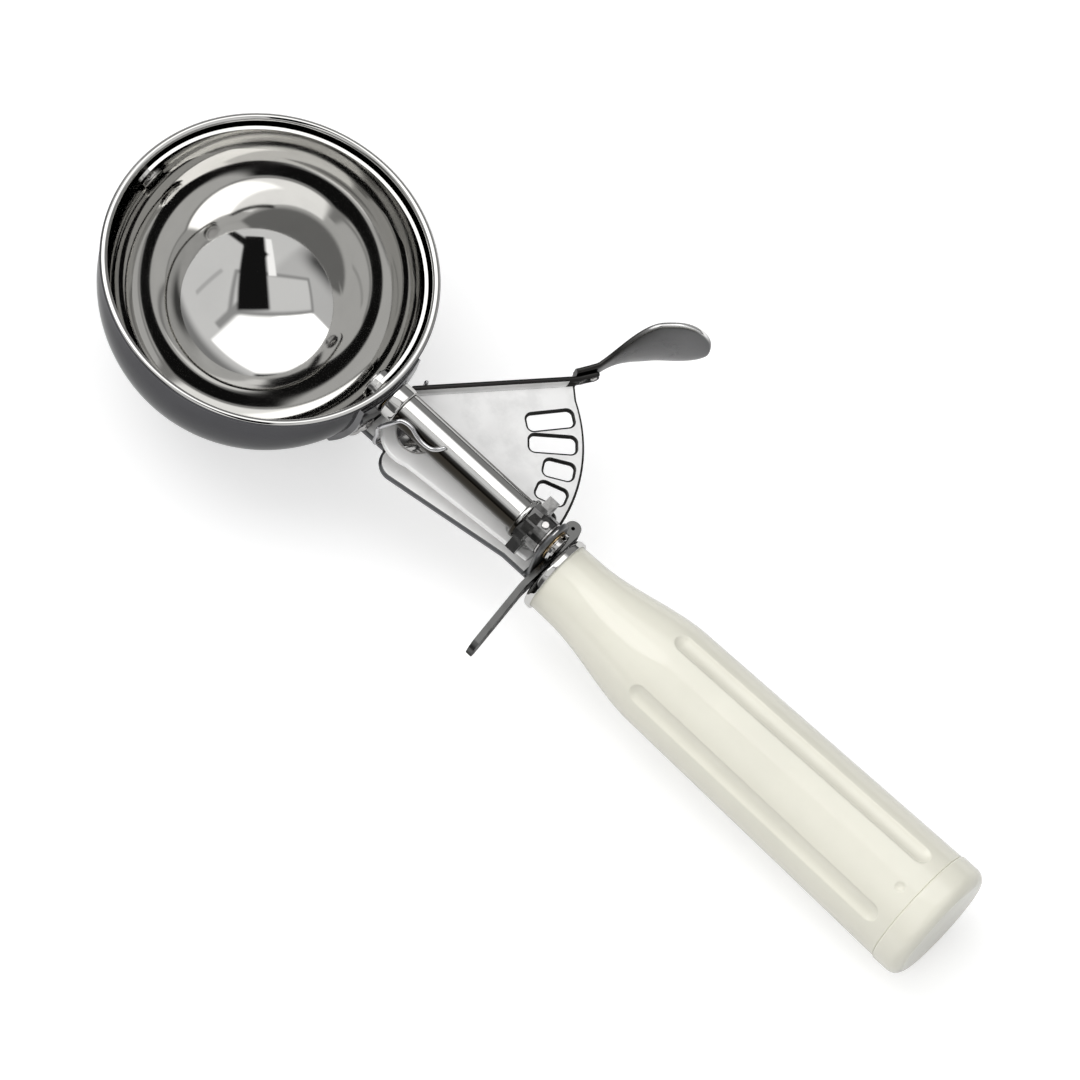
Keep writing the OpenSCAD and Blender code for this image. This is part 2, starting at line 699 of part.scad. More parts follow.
// Thumb pad: a curved strip seen from above, cut to its outline seen from the side
pad_foot = edge_corner + 0.2 * tongue_dir + pad_t / 2 * tongue_out;
pad_bend = edge_corner + tongue_len * tongue_dir + pad_t / 2 * tongue_out;
pad_tip = pad_bend + [pad_out_x, pad_out_y];
pad_curve = concat([pad_foot], bezier_points([pad_bend,
    pad_bend + [0.1 * pad_out_x, 0.37 * pad_out_y], pad_bend + [0.28 * pad_out_x, 0.7 * pad_out_y],
    pad_tip], 16));
pad_chord = pad_tip - pad_foot;
pad_len = norm(pad_chord);
pad_angle = atan2(pad_chord[1], pad_chord[0]);
pad_neck_z = sector_z + pad_neck_h / 2 - 0.3;
pad_mid_z = sector_z + pad_neck_h / 2 + 0.6;
function pad_half(s) = (pad_neck_h + (pad_h - pad_neck_h) * smooth((s - 5) / (0.62 * pad_len - 5))) / 2
    * sqrt(max(0, 1 - pow(max(0, (s - 0.74 * pad_len) / (0.26 * pad_len)), 2)));
function pad_mid(s) = pad_neck_z + (pad_mid_z - pad_neck_z) * smooth(s / pad_len);
pad_steps = 30;
function pad_s(i) = pad_len * sin(90 * i / pad_steps);

module pad_side()
    polygon(concat([for (i = [0:pad_steps]) let (s = pad_s(i)) [s, pad_mid(s) + pad_half(s)]],
        [for (i = [pad_steps - 1:-1:0]) let (s = pad_s(i)) [s, pad_mid(s) - pad_half(s)]]));

module thumb_pad()
    color("silver") at_pivot() difference() {
        intersection() {
            translate([0, 0, -pad_h]) linear_extrude(3 * pad_h) polygon(ribbon(pad_curve, pad_t));
            translate([pad_foot[0], pad_foot[1], 0]) rotate([0, 0, pad_angle])
                translate([0, pad_len / 2, 0]) rotate([90, 0, 0]) linear_extrude(pad_len) pad_side();
        }
        at_pad_rivets() rod(-1, pad_t + 2, pad_rivet_r);
    }

module pad_rivets()
    color("gray") at_pivot() at_pad_rivets() translate([pad_t, 0, 0])
        rivet(pad_rivet_r, pad_t + lever_t, pad_rivet_r + 0.5, 0.5);

// Wire swept along a list of points, with an eight-sided section
wire_sides = 8;
function carried(n, t) = unit(n - (n * t) * t);
function wire_normals(p, i = 0, n = [0.2, 0.3, 1], done = []) = i == len(p) ? done
    : let (m = carried(n, tangent(p, i))) wire_normals(p, i + 1, m, concat(done, [m]));
module wire(p, d) {
    normals = wire_normals(p);
    k = wire_sides;
    n = len(p);
    points = [for (i = [0:n - 1]) let (t = tangent(p, i), b = cross(t, normals[i]))
        for (j = [0:k - 1]) p[i] + d / 2 * (cos(360 * j / k) * normals[i] + sin(360 * j / k) * b)];
    sides = [for (i = [0:n - 2]) for (j = [0:k - 1])
        [i * k + j, i * k + (j + 1) % k, (i + 1) * k + (j + 1) % k, (i + 1) * k + j]];
    polyhedron(points, concat([[for (j = [k - 1:-1:0]) j]], sides,
        [[for (j = [0:k - 1]) (n - 1) * k + j]]));
}

// Torsion spring round the pivot: one leg hooks over the tube, the other round the sector's flange
coil_start = 180;
leg_angle = 100;
coil_end = leg_angle + 90;
coil_turns = 2 + (coil_start - coil_end) / 360;
coil_steps = 48;
function round_pivot(r, a, z) = [r * cos(a), r * sin(a), z];
function coil_point(u) = round_pivot(coil_r, coil_start - 360 * coil_turns * u,
    coil_z + (coil_top - coil_z) * u);

// The hook lies on the tube's flank; s counts tube radii from the pivot, a is the angle from Y to Z
hook_r = tube_r + spring_gap + wire_room;
function on_tube(s, a) = [s * tube_r, hook_r * cos(a), shaft_z + hook_r * sin(a)];
rise_r = lever_hub_r + 3 * spring_gap + wire_room;
hook_leg = [on_tube(2, 122), on_tube(1.8, 136), on_tube(1.45, 149), on_tube(0.9, 153),
    on_tube(0.4, 149), on_tube(0, 142), on_tube(-0.4, 141), on_tube(-0.8, 148),
    on_tube(-1.05, 162) - [0, wire_d / 2, 0], round_pivot(rise_r, 227, shaft_z - pinion_pitch_r / 3),
    round_pivot(rise_r, 230, sector_top + wire_d), round_pivot(rise_r, 231, sector_z - wire_d),
    round_pivot(1.75 * coil_r, 230, coil_z + wire_d / 3), round_pivot(1.55 * coil_r, 226, coil_z),
    round_pivot(1.3 * coil_r, 217, coil_z), round_pivot(1.08 * coil_r, 202, coil_z)];

// The other leg runs straight under the sector and turns up behind its flange
leg_dir = [cos(leg_angle), sin(leg_angle)];
leg_start = coil_r * [cos(coil_end), sin(coil_end)];
leg_reach = (edge_offset + spring_gap + wire_room - leg_start * edge_out) / (leg_dir * edge_out);
function on_leg(s, z) = let (p = leg_start + s * leg_dir) [p[0], p[1], z];
sector_leg = [on_leg(leg_reach / 3, coil_top), on_leg(leg_reach * 2 / 3, coil_top),
    on_leg(leg_reach - wire_d, coil_top), on_leg(leg_reach - wire_d / 2, coil_top),
    on_leg(leg_reach, coil_top + wire_d / 3), on_leg(leg_reach + wire_d / 6, coil_top + wire_d),
    on_leg(leg_reach + wire_d / 6, sector_z + flange_h - wire_d / 2)];

module return_spring()
    color("dimgray") at_pivot() wire(concat(hook_leg,
        [for (i = [0:coil_steps]) coil_point(i / coil_steps)], sector_leg), wire_d);

bowl();
bowl_saddle();
saddle_rivets();
front_bushing();
front_collar();
shank_tube();
frame_plate();
rear_bushing();
pivot_post();
tip_pin();
tip_washer();
finger_rest();
rest_rivets();
ferrule();
handle();
end_cap();
return_spring();
scraper_blade();
blade_hub();
scraper_shaft();
pinion();
cross_pin();
thrust_washer();
shaft_clip();
sector_plate();
pivot_bushing();
thumb_pad();
pad_rivets();
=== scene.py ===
import json
import math

import bmesh
import bpy
import numpy as np
from bpy.props import FloatProperty, FloatVectorProperty, IntProperty, PointerProperty
from mathutils import Matrix, Vector


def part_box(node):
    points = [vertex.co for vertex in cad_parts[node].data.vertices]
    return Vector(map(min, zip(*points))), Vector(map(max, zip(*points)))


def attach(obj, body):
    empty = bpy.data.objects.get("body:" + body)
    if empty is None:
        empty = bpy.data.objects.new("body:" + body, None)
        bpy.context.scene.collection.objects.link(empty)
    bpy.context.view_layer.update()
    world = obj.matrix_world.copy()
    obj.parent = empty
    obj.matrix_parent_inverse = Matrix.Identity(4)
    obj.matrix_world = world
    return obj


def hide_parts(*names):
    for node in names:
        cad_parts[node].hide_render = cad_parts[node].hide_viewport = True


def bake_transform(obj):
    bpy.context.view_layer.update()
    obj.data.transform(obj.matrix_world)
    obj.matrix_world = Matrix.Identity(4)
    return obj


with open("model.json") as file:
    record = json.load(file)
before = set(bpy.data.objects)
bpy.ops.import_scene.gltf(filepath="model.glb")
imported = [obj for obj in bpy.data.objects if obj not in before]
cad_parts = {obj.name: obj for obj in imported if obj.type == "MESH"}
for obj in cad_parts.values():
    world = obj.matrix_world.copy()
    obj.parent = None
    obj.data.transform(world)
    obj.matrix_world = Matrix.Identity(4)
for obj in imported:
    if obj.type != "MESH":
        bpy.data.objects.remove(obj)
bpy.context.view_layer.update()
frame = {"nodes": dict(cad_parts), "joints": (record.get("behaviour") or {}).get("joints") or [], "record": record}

bl_info = {
    "name": "Lever ice cream scoop",
    "version": (1, 0, 0),
    "blender": (4, 5, 0),
    "location": "3D View > Sidebar > Scoop",
    "description": "Builds the bowl, the sector drive and the handle of a lever scoop",
    "category": "Object",
}

MM = 0.001


# ---------------- places taken from the frame

def node_box(node):
    """Lowest and highest corner of a CAD node as two arrays, in metres."""
    low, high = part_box(node)
    return np.array(low), np.array(high)


def half_width(node):
    """Half of a CAD node's side along Y, which is the outer radius of a round one."""
    low, high = node_box(node)
    return (high[1] - low[1]) / 2


def joint_place(name):
    """The record's point on the axis of a joint."""
    return np.array(next(j["pos_m"] for j in frame["joints"] if j["name"] == name))


def body_of(node):
    """The body that a node belongs to."""
    bodies = frame["record"]["behaviour"]["bodies"]
    return next(body for body, members in bodies.items() if node in members)


SHAFT = joint_place("scraper_turn")
PIVOT = joint_place("lever_press")


# ---------------- sizes and colours

def length(name, text, mm):
    """A length property that is shown in millimetres."""
    return FloatProperty(name=name, description=text, default=mm * MM, unit="LENGTH", precision=5)


def colour(name, text, rgb):
    """A colour property in linear values."""
    return FloatVectorProperty(name=name, description=text, default=rgb, subtype="COLOR",
                               size=3, min=0.0, max=1.0)


def angle(name, text, degrees):
    """An angle property that is shown in degrees."""
    return FloatProperty(name=name, description=text, default=math.radians(degrees),
                         subtype="ANGLE", unit="ROTATION")


class ScoopSizes(bpy.types.PropertyGroup):
    """Sizes of the pieces that are shaped here; the rest comes from the frame."""

    rim_roll: length("Rim roll", "Radius of the rolled rim of the bowl", 0.8)
    sheet_edge: length("Sheet edge", "Rounding of the edges of sheet parts", 0.5)
    fine_edge: length("Fine edge", "Rounding of the edges of small turned parts", 0.12)
    round_steps: IntProperty(name="Round steps", description="Steps round a turned surface",
                             default=192, min=24, max=360)

    tube_radius: length("Tube radius", "Outer radius of the tube round the shaft", 3.65)

    neck_radius: length("Neck radius", "Radius of the handle's neck", 7.8)
    neck_length: length("Neck length", "Length of the straight neck", 4.9)
    shoulder_gain: length("Shoulder gain", "Gain in radius over the shoulder", 3.2)
    shoulder_end: length("Shoulder end", "Distance of its end from the neck's front", 29.9)
    taper: FloatProperty(name="Taper", description="Gain in radius for each unit of length",
                         default=0.022, precision=3)
    flutes: IntProperty(name="Flutes", description="Number of flutes", default=5, min=3, max=8)
    flute_angle: angle("Flute angle", "Angle of the first flute from Z towards Y", 13.0)
    flute_width: length("Flute width", "Width of a flute", 4.6)
    flute_depth: length("Flute depth", "Depth of a flute", 1.0)
    flute_room: length("Flute room", "Distance from the handle's end to a flute", 9.6)
    flute_length: length("Flute length", "Length of a flute", 67.4)
    flute_blend: length("Flute blend", "Softness of the edge of a flute", 0.12)
    dimple_radius: length("Dimple radius", "Radius of the dimple near the end", 1.1)
    dimple_depth: length("Dimple depth", "Depth of the dimple", 0.5)
    dimple_room: length("Dimple room", "Distance from the end cap to the dimple", 3.6)
    cap_fillet: length("Cap fillet", "Fillet of the end cap", 2.6)
    cap_proud: length("Cap proud", "Height of the end cap over the handle", 0.25)

    edge_offset: length("Edge offset", "Distance of the straight edge from the pivot", 10.0)
    edge_angle: angle("Edge angle", "Direction of the sector's straight edge", 50.7)
    edge_length: length("Edge length", "Length of the straight edge", 33.7)
    tongue_length: length("Tongue length", "Length of the tongue under the thumb pad", 5.0)
    tongue_bend: angle("Tongue bend", "Bend of the tongue away from the edge", 10.0)
    pad_sheet: length("Pad sheet", "Thickness of the thumb pad", 1.2)
    pad_height: length("Pad height", "Height of the thumb pad", 16.5)
    pad_neck: length("Pad neck", "Height of the pad's neck", 4.2)
    pad_reach_x: length("Pad reach X", "Reach of the pad past the tongue, along the handle", 13.4)
    pad_reach_y: length("Pad reach Y", "Reach of the pad past the tongue, to the side", 18.7)
    pad_lift: length("Pad lift", "Rise of the thumb pad's middle line", 2.5)
    pad_bead: length("Pad bead", "Extra thickness of the pad's upper edge", 1.1)
    pad_dish: length("Pad dish", "Depth of the hollow in the thumb pad", 0.7)

    wire: length("Wire", "Thickness of the spring wire", 0.9)
    wire_gap: length("Wire gap", "Gap between the spring and its neighbours", 0.12)
    lever_hub: length("Lever hub", "Radius of the sector's hub round the pivot", 7.4)
    leg_angle: angle("Leg angle", "Direction of the spring's leg under the sector", 100.0)

    blade_width: length("Blade width", "Width of the scraper blade", 9.0)
    blade_sheet: length("Blade sheet", "Thickness of the scraper blade", 0.7)
    blade_gap: length("Blade gap", "Gap between blade and bowl", 0.4)


class ScoopColours(bpy.types.PropertyGroup):
    """Colours of the finishes, some of which carry painted light and shade."""

    chrome: colour("Chrome", "Polished stainless steel", (0.64, 0.635, 0.62))
    sheet: colour("Sheet steel", "Bright tumbled sheet", (0.78, 0.777, 0.77))
    # Also painted light: the paler hub side of the sector and the highlight on the thumb pad's upper edge take
    # this colour.
    frame_sheet_and_painted_light: colour("Frame sheet", "Pale sheet of the frame plate", (0.95, 0.945, 0.935))
    # Painted shade: dark brown laid on the tube's two sides in place of their shade and dark reflections.
    tube_shade: colour("Dull steel", "Unpolished underside of the tube", (0.035, 0.031, 0.025))
    # Cut edges: duller sheared steel, painted near black as shade; the same colour paints the shade on the thumb
    # pad's neck.
    cut: colour("Cut edge", "Sheared edge of the sheet", (0.035, 0.034, 0.033))
    # Painted shade on the frame plate's upright cut edges and on its ear.
    frame_edge: colour("Frame edge", "Cut edge and ear of the frame plate", (0.15, 0.152, 0.156))
    # Painted shade: the saddle is darkened as the shade between the bowl and the plate.
    saddle: colour("Saddle steel", "Pressed saddle under the bowl", (0.20, 0.20, 0.205))
    rest: colour("Rest steel", "Strip of the finger rest", (0.17, 0.17, 0.17))
    # Painted shade on the finger rest's upright faces and its upper edge.
    rest_edge: colour("Rest edge", "Upper edge of the finger rest", (0.11, 0.11, 0.108))
    # Painted shade: the bowl's outside is darkened as the shade it mirrors.
    outside: colour("Spun steel", "Outside of the bowl", (0.09, 0.09, 0.096))
    # Painted shade: the pinion is darkened as the shade it sits in between the ears.
    pinion: colour("Pinion steel", "Oiled steel of the pinion", (0.22, 0.218, 0.214))
    pad: colour("Pad steel", "Darker sheet of the thumb pad", (0.14, 0.14, 0.142))
    turned: colour("Turned steel", "Shafts, pins and rivets", (0.55, 0.54, 0.53))
    wire: colour("Spring wire", "Drawn wire", (0.60, 0.60, 0.61))
    bronze: colour("Bronze", "Bushings", (0.62, 0.45, 0.24))
    ivory: colour("Ivory", "Moulded handle", (0.83, 0.815, 0.71))
    floor: colour("Floor", "Floor and backdrop", (0.7, 0.7, 0.7))


def sizes():
    """The scene's sizes."""
    return bpy.context.scene.scoop_sizes


def colours():
    """The scene's colours."""
    return bpy.context.scene.scoop_colours


# ---------------- mesh helpers

# Reach in which points merge, shortest edge that is kept, bend under which two faces are one
# flat face, and bend over which an edge is rounded
MERGE_REACH = 2e-6
LEAST_EDGE = 1e-7
FLAT_DEGREES = 0.5
EDGE_DEGREES = 30.0


def merge(work):
    """Merge doubles and drop faces with no area."""
    bmesh.ops.remove_doubles(work, verts=work.verts, dist=MERGE_REACH)
    bmesh.ops.dissolve_degenerate(work, edges=work.edges, dist=LEAST_EDGE)


def face_out(work):
    """Turn all faces outwards."""
    bmesh.ops.recalc_face_normals(work, faces=work.faces)


def join_flat(work):
    """Join the triangles of each flat face, so that its edges can be rounded cleanly."""
    bmesh.ops.dissolve_limit(work, angle_limit=math.radians(FLAT_DEGREES), verts=work.verts,
                             edges=work.edges)


def fill_ends(work):
    """Fill the open ends of a swept skin."""
    bmesh.ops.holes_fill(work, edges=[edge for edge in work.edges if edge.is_boundary])


def reshape(obj, *steps):
    """Run steps on an object's mesh, each of them a function that changes a bmesh."""
    work = bmesh.new()
    work.from_mesh(obj.data)
    for step in steps:
        step(work)
    work.to_mesh(obj.data)
    work.free()


def new_object(name, data):
    """An object of the scene that shows a mesh, a camera or a lamp."""
    obj = bpy.data.objects.new(name, data)
    bpy.context.scene.collection.objects.link(obj)
    return obj


def ring_faces(rows, cols):
    """Quads between the rows of a grid, each row a closed ring of cols vertices."""
    r, c = np.meshgrid(np.arange(rows - 1), np.arange(cols), indexing="ij")
    after = (c + 1) % cols
    quads = [r * cols + c, r * cols + after, (r + 1) * cols + after, (r + 1) * cols + c]
    return np.stack([quad.ravel() for quad in quads], axis=1)


def ring_object(name, points):
    """A mesh object from rings of points, rows by cols by 3, whose faces point outwards."""
    mesh = bpy.data.meshes.new(name)
    mesh.from_pydata(points.reshape(-1, 3), [], ring_faces(*points.shape[:2]).tolist())
    obj = new_object(name, mesh)
    reshape(obj, merge, face_out)
    return obj


def turned(section, centre=(0.0, 0.0, 0.0), along="x"):
    """Points of a turned surface: section holds (radius, height) pairs, spun about the axis
    along (x or z) through centre: across = radius * (cos a, sin a) for a over a full turn."""
    a = np.linspace(0, 2 * np.pi, sizes().round_steps, endpoint=False)
    radius, height = section[:, 0][:, None], section[:, 1][:, None]
    u, v, w = radius * np.cos(a), radius * np.sin(a), height + 0 * a
    order = (u, v, w) if along == "z" else (w, u, v)
    return np.stack(order, axis=2) + np.asarray(centre)


def on_circle(radius, degrees):
    """Pairs radius * (cos a, sin a), with the angle a in degrees."""
    a = np.radians(degrees)
    return np.stack([radius * np.cos(a), radius * np.sin(a)], axis=-1)


def arc(centre, radius, start, end, steps):
    """Points on an arc of a circle, with angles in degrees."""
    return np.asarray(centre) + on_circle(radius, np.linspace(start, end, steps))


def rounded(points, radius, steps=6):
    """Round the corners of an open section: each inner corner becomes a short curve
    (1-t)^2 a + 2 t (1-t) corner + t^2 b between points a and b at the radius from it, or at
    45% of a side that is short."""
    p = np.asarray(points, dtype=float)
    before, corner, after = p[:-2], p[1:-1], p[2:]
    back, ahead = before - corner, after - corner
    long_a = np.linalg.norm(back, axis=1, keepdims=True)
    long_b = np.linalg.norm(ahead, axis=1, keepdims=True)
    a = corner + back / long_a * np.minimum(radius, long_a * 0.45)
    b = corner + ahead / long_b * np.minimum(radius, long_b * 0.45)
    t = np.linspace(0, 1, steps)[None, :, None]
    curve = (1 - t) ** 2 * a[:, None] + 2 * t * (1 - t) * corner[:, None] + t ** 2 * b[:, None]
    return np.concatenate([p[:1], curve.reshape(-1, 2), p[-1:]])


def along_path(path):
    """Directions of unit length along a path of points."""
    step = np.gradient(path, axis=0)
    return step / np.linalg.norm(step, axis=1, keepdims=True)


def ease(t):
    """0 to 1 along 3 t^2 - 2 t^3, flat at both ends."""
    t = np.clip(t, 0, 1)
    return t * t * (3 - 2 * t)


def smooth(obj, degrees=32.0):
    """Smooth shading with sharp edges where faces meet at more than the given angle."""
    obj.data.shade_smooth()
    obj.data.set_sharp_from_angle(angle=math.radians(degrees))
    return obj


def bevel(obj, width, segments=3, degrees=EDGE_DEGREES, clamp=True):
    """Round the edges that are sharper than the given angle and shade the faces flat."""
    mod = obj.modifiers.new("edges", "BEVEL")
    mod.width = width
    mod.segments = segments
    mod.limit_method = "ANGLE"
    mod.angle_limit = math.radians(degrees)
    mod.use_clamp_overlap = clamp
    mod.loop_slide = False
    shade = obj.modifiers.new("shade", "WEIGHTED_NORMAL")
    shade.weight = 100
    shade.keep_sharp = True


def stand_for(obj, node, material, rides=True):
    """Give a piece its material, hide the node it stands for and let it ride on its body."""
    obj.data.materials.clear()
    obj.data.materials.append(material)
    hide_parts(node)
    if rides:
        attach(obj, body_of(node))
    return obj


def skin_piece(node, points, material, degrees=32.0, name=None):
    """A smooth piece from rings of points that stands for a CAD node."""
    obj = ring_object(name or node + "_piece", points)
    return stand_for(smooth(obj, degrees), node, material)


def dressed(node, material, edge=0.0, clamp=True):
    """A merged copy of a CAD node that stands for it, with its edges rounded where asked."""
    obj = frame["nodes"][node].copy()
    obj.data = obj.data.copy()
    obj.name = node + "_piece"
    bpy.context.scene.collection.objects.link(obj)
    for key in list(obj.keys()):
        del obj[key]
    obj.parent = None
    obj.matrix_world = Matrix.Identity(4)
    reshape(obj, merge)
    if edge:
        reshape(obj, join_flat, face_out)
        bevel(obj, edge, clamp=clamp)
    return stand_for(smooth(obj, EDGE_DEGREES), node, material)


def dress_all(nodes, material, edge=0.0):
    """Copies of several CAD nodes in one finish."""
    for node in nodes:
        dressed(node, material, edge)


# ---------------- shader groups

SOCKET_KINDS = {1: "NodeSocketFloat", 3: "NodeSocketVector", 4: "NodeSocketColor"}
BLACK = (0.0, 0.0, 0.0, 1.0)
WHITE = (1.0, 1.0, 1.0, 1.0)
ORIGIN = (0.0, 0.0, 0.0)


def feed(tree, socket, value):
    """Link a socket to a node's output, or give it a plain value."""
    if isinstance(value, bpy.types.NodeSocket):
        tree.links.new(value, socket)
    else:
        socket.default_value = value


def add(tree, kind, inputs, **settings):
    """Outputs of a new node with its settings, whose inputs are linked or get a value."""
    node = tree.nodes.new("ShaderNode" + kind)
    for key, value in settings.items():
        setattr(node, key, value)
    for key, value in inputs.items():
        feed(tree, node.inputs[key], value)
    return node.outputs


def maths(tree, operation, *values):
    """Result of an operation on sockets or numbers."""
    return add(tree, "Math", dict(enumerate(values)), operation=operation)[0]


def fade(tree, value, start, end, first=0.0, last=1.0):
    """From first where the value is at start to last where it is at end, flat at both ends."""
    ends = {"Value": value, "From Min": start, "From Max": end, "To Min": first, "To Max": last}
    return add(tree, "MapRange", ends, interpolation_type="SMOOTHSTEP")["Result"]


def mix(tree, mask, skin, other):
    """A colour that gives way to the other one where the mask is 1."""
    return add(tree, "Mix", {0: mask, 6: skin, 7: other}, data_type="RGBA")[2]


def mix_numbers(tree, mask, number, other):
    """A number that gives way to the other one where the mask is 1."""
    return add(tree, "Mix", {0: mask, 2: number, 3: other}, data_type="FLOAT")[0]


def parts_of(tree, kind):
    """X, Y and Z of the coordinates of a kind: Object, Normal or Generated."""
    return add(tree, "SeparateXYZ", {"Vector": add(tree, "TexCoord", {})[kind]})


def noise(tree, place, scale, detail, roughness, distortion=0.0):
    """Noise from 0 to 1 at a place, or on Object coordinates where there is none."""
    place = place or add(tree, "TexCoord", {})["Object"]
    values = {"Vector": place, "Scale": scale, "Detail": detail, "Roughness": roughness,
              "Distortion": distortion}
    return add(tree, "TexNoise", values)["Fac"]


def shader_group(name, fill, **inputs):
    """A shader group that is built once, with named inputs and their defaults. The function
    fill gets its tree and its inputs, and gives each output's title and source."""
    if name in bpy.data.node_groups:
        return bpy.data.node_groups[name]
    tree = bpy.data.node_groups.new(name, "ShaderNodeTree")
    for key, value in inputs.items():
        socket = tree.interface.new_socket(key.replace("_", " "), in_out="INPUT",
                                           socket_type=SOCKET_KINDS[np.size(value)])
        socket.default_value = value
    take, give = tree.nodes.new("NodeGroupInput"), tree.nodes.new("NodeGroupOutput")
    for title, source in fill(tree, take.outputs).items():
        kind = SOCKET_KINDS[4 if source.type == "RGBA" else 1]
        tree.interface.new_socket(title, in_out="OUTPUT", socket_type=kind)
        tree.links.new(source, give.inputs[title])
    return tree


def use(tree, group, **values):
    """Place a shader group in a material with its values, and give its outputs."""
    inputs = {key.replace("_", " "): value for key, value in values.items()}
    return add(tree, "Group", inputs, node_tree=group)


def handling_group():
    """Finger smears: a soft cloud that adds to the roughness in places."""
    def fill(tree, take):
        cloud = noise(tree, None, take["Scale"], 3.0, 0.55, 0.6)
        return {"Roughness": fade(tree, cloud, 0.42, 0.72, take["Clean"], take["Smeared"])}
    return shader_group("Handling", fill, Scale=60.0, Clean=0.04, Smeared=0.14)


def hairline_group():
    """Hairline scratches: noise stretched along one axis to thin lines."""
    def fill(tree, take):
        place = add(tree, "TexCoord", {})["Object"]
        lines = add(tree, "Mapping", {"Vector": place, "Rotation": take["Turn"],
                                      "Scale": take["Stretch"]})
        return {"Height": noise(tree, lines["Vector"], 1.0, 4.0, 0.6)}
    return shader_group("Hairlines", fill, Stretch=(40.0, 900.0, 900.0), Turn=ORIGIN)


def edge_group():
    """Cut edges of sheet, painted near black as shade over their duller sheared steel; the tube uses
    the same mask for painted shade on its sides. The mask is 1 where the surface stands upright
    below the height Low or past the place Far along X, or lies above the height Top, and past the
    place Side along Y, else 0. Flat and Upright give the upward part of the normal where that
    starts and is full. Metallic is Metal on the sheet and 1 on its edges."""
    def fill(tree, take):
        place = parts_of(tree, "Object")
        upward = maths(tree, "ABSOLUTE", parts_of(tree, "Normal")["Z"])
        upright = fade(tree, upward, take["Flat"], take["Upright"])
        below = maths(tree, "LESS_THAN", place["Z"], take["Low"])
        beyond = maths(tree, "GREATER_THAN", place["X"], take["Far"])
        sheared = maths(tree, "MULTIPLY", upright, maths(tree, "MAXIMUM", below, beyond))
        above = maths(tree, "GREATER_THAN", place["Z"], take["Top"])
        beside = maths(tree, "GREATER_THAN", place["Y"], take["Side"])
        mask = maths(tree, "MULTIPLY", maths(tree, "MAXIMUM", sheared, above), beside)
        return {"Color": mix(tree, mask, take["Face"], take["Edge"]),
                "Metallic": mix_numbers(tree, mask, take["Metal"], 1.0)}
    return shader_group("Cut edge", fill, Face=WHITE, Edge=BLACK, Flat=0.999, Upright=0.975,
                        Low=1.0, Top=1.0, Side=-1.0, Far=1.0, Metal=1.0)


def tone_group():
    """Two tones mixed by a soft cloud, for sheet metal and moulded plastic."""
    def fill(tree, take):
        cloud = noise(tree, None, take["Scale"], 5.0, 0.62)
        return {"Color": mix(tree, fade(tree, cloud, 0.4, 0.68), take["Light"], take["Dark"])}
    return shader_group("Cloudy tone", fill, Light=WHITE, Dark=BLACK, Scale=90.0)


def panel_group():
    """Mask of a rectangle in a plane, from a point of that plane. It falls from 1 to 0 over the
    softness on both sides of each edge."""
    def fill(tree, take):
        local = add(tree, "Mapping", {"Vector": take["Point"], "Location": take["Centre"],
                                      "Rotation": take["Turn"]}, vector_type="TEXTURE")
        parts = add(tree, "SeparateXYZ", {"Vector": local["Vector"]})
        masks = []
        for axis, half in (("X", take["Half Length"]), ("Y", take["Half Width"])):
            start = maths(tree, "SUBTRACT", half, take["Soft"])
            end = maths(tree, "ADD", half, take["Soft"])
            masks.append(fade(tree, maths(tree, "ABSOLUTE", parts[axis]), start, end, 1.0, 0.0))
        return {"Mask": maths(tree, "MULTIPLY", *masks)}
    return shader_group("Panel mask", fill, Point=ORIGIN, Centre=ORIGIN, Turn=ORIGIN,
                        Half_Length=1.0, Half_Width=1.0, Soft=0.1)


# ---------------- finishes

# The sector's cut edges, duller sheared steel, are painted near black as shade up to SECTOR_CUT over
# its underside and within SECTOR_LIP of the flange's top, both past SECTOR_SIDE along Y. From there
# to SECTOR_PAINTED_LIGHT its sheet turns paler, a painted light on the hub's side of the shaft. The
# finger rest's upright faces and its upper edge of the height REST_LIP are painted dark as shade.
SECTOR_CUT = 1.21 * MM
SECTOR_LIP = 0.25 * MM
SECTOR_SIDE = -1.5 * MM
SECTOR_PAINTED_LIGHT = -2.5 * MM
REST_LIP = 0.3 * MM
# The thumb pad carries a painted highlight between two heights and two upward parts of the normal,
# and the painted shade on its neck fades over a length.
PAD_HIGHLIGHT = (9.5 * MM, 11.5 * MM)
PAD_TILT = (0.35, 0.75)
PAD_NECK_SHADE = 9 * MM


def rgba(rgb, gain=1.0):
    """A colour with full alpha, made lighter or darker."""
    return tuple(min(1.0, c * gain) for c in rgb) + (1.0,)


def blank_material(name):
    """A material with a Principled BSDF, with its tree."""
    material = bpy.data.materials.new(name)
    material.use_nodes = True
    return material, material.node_tree


def set_shader(tree, values):
    """Link or set sockets of a material's Principled BSDF."""
    shader = tree.nodes["Principled BSDF"]
    for title, value in values.items():
        feed(tree, shader.inputs[title], value)


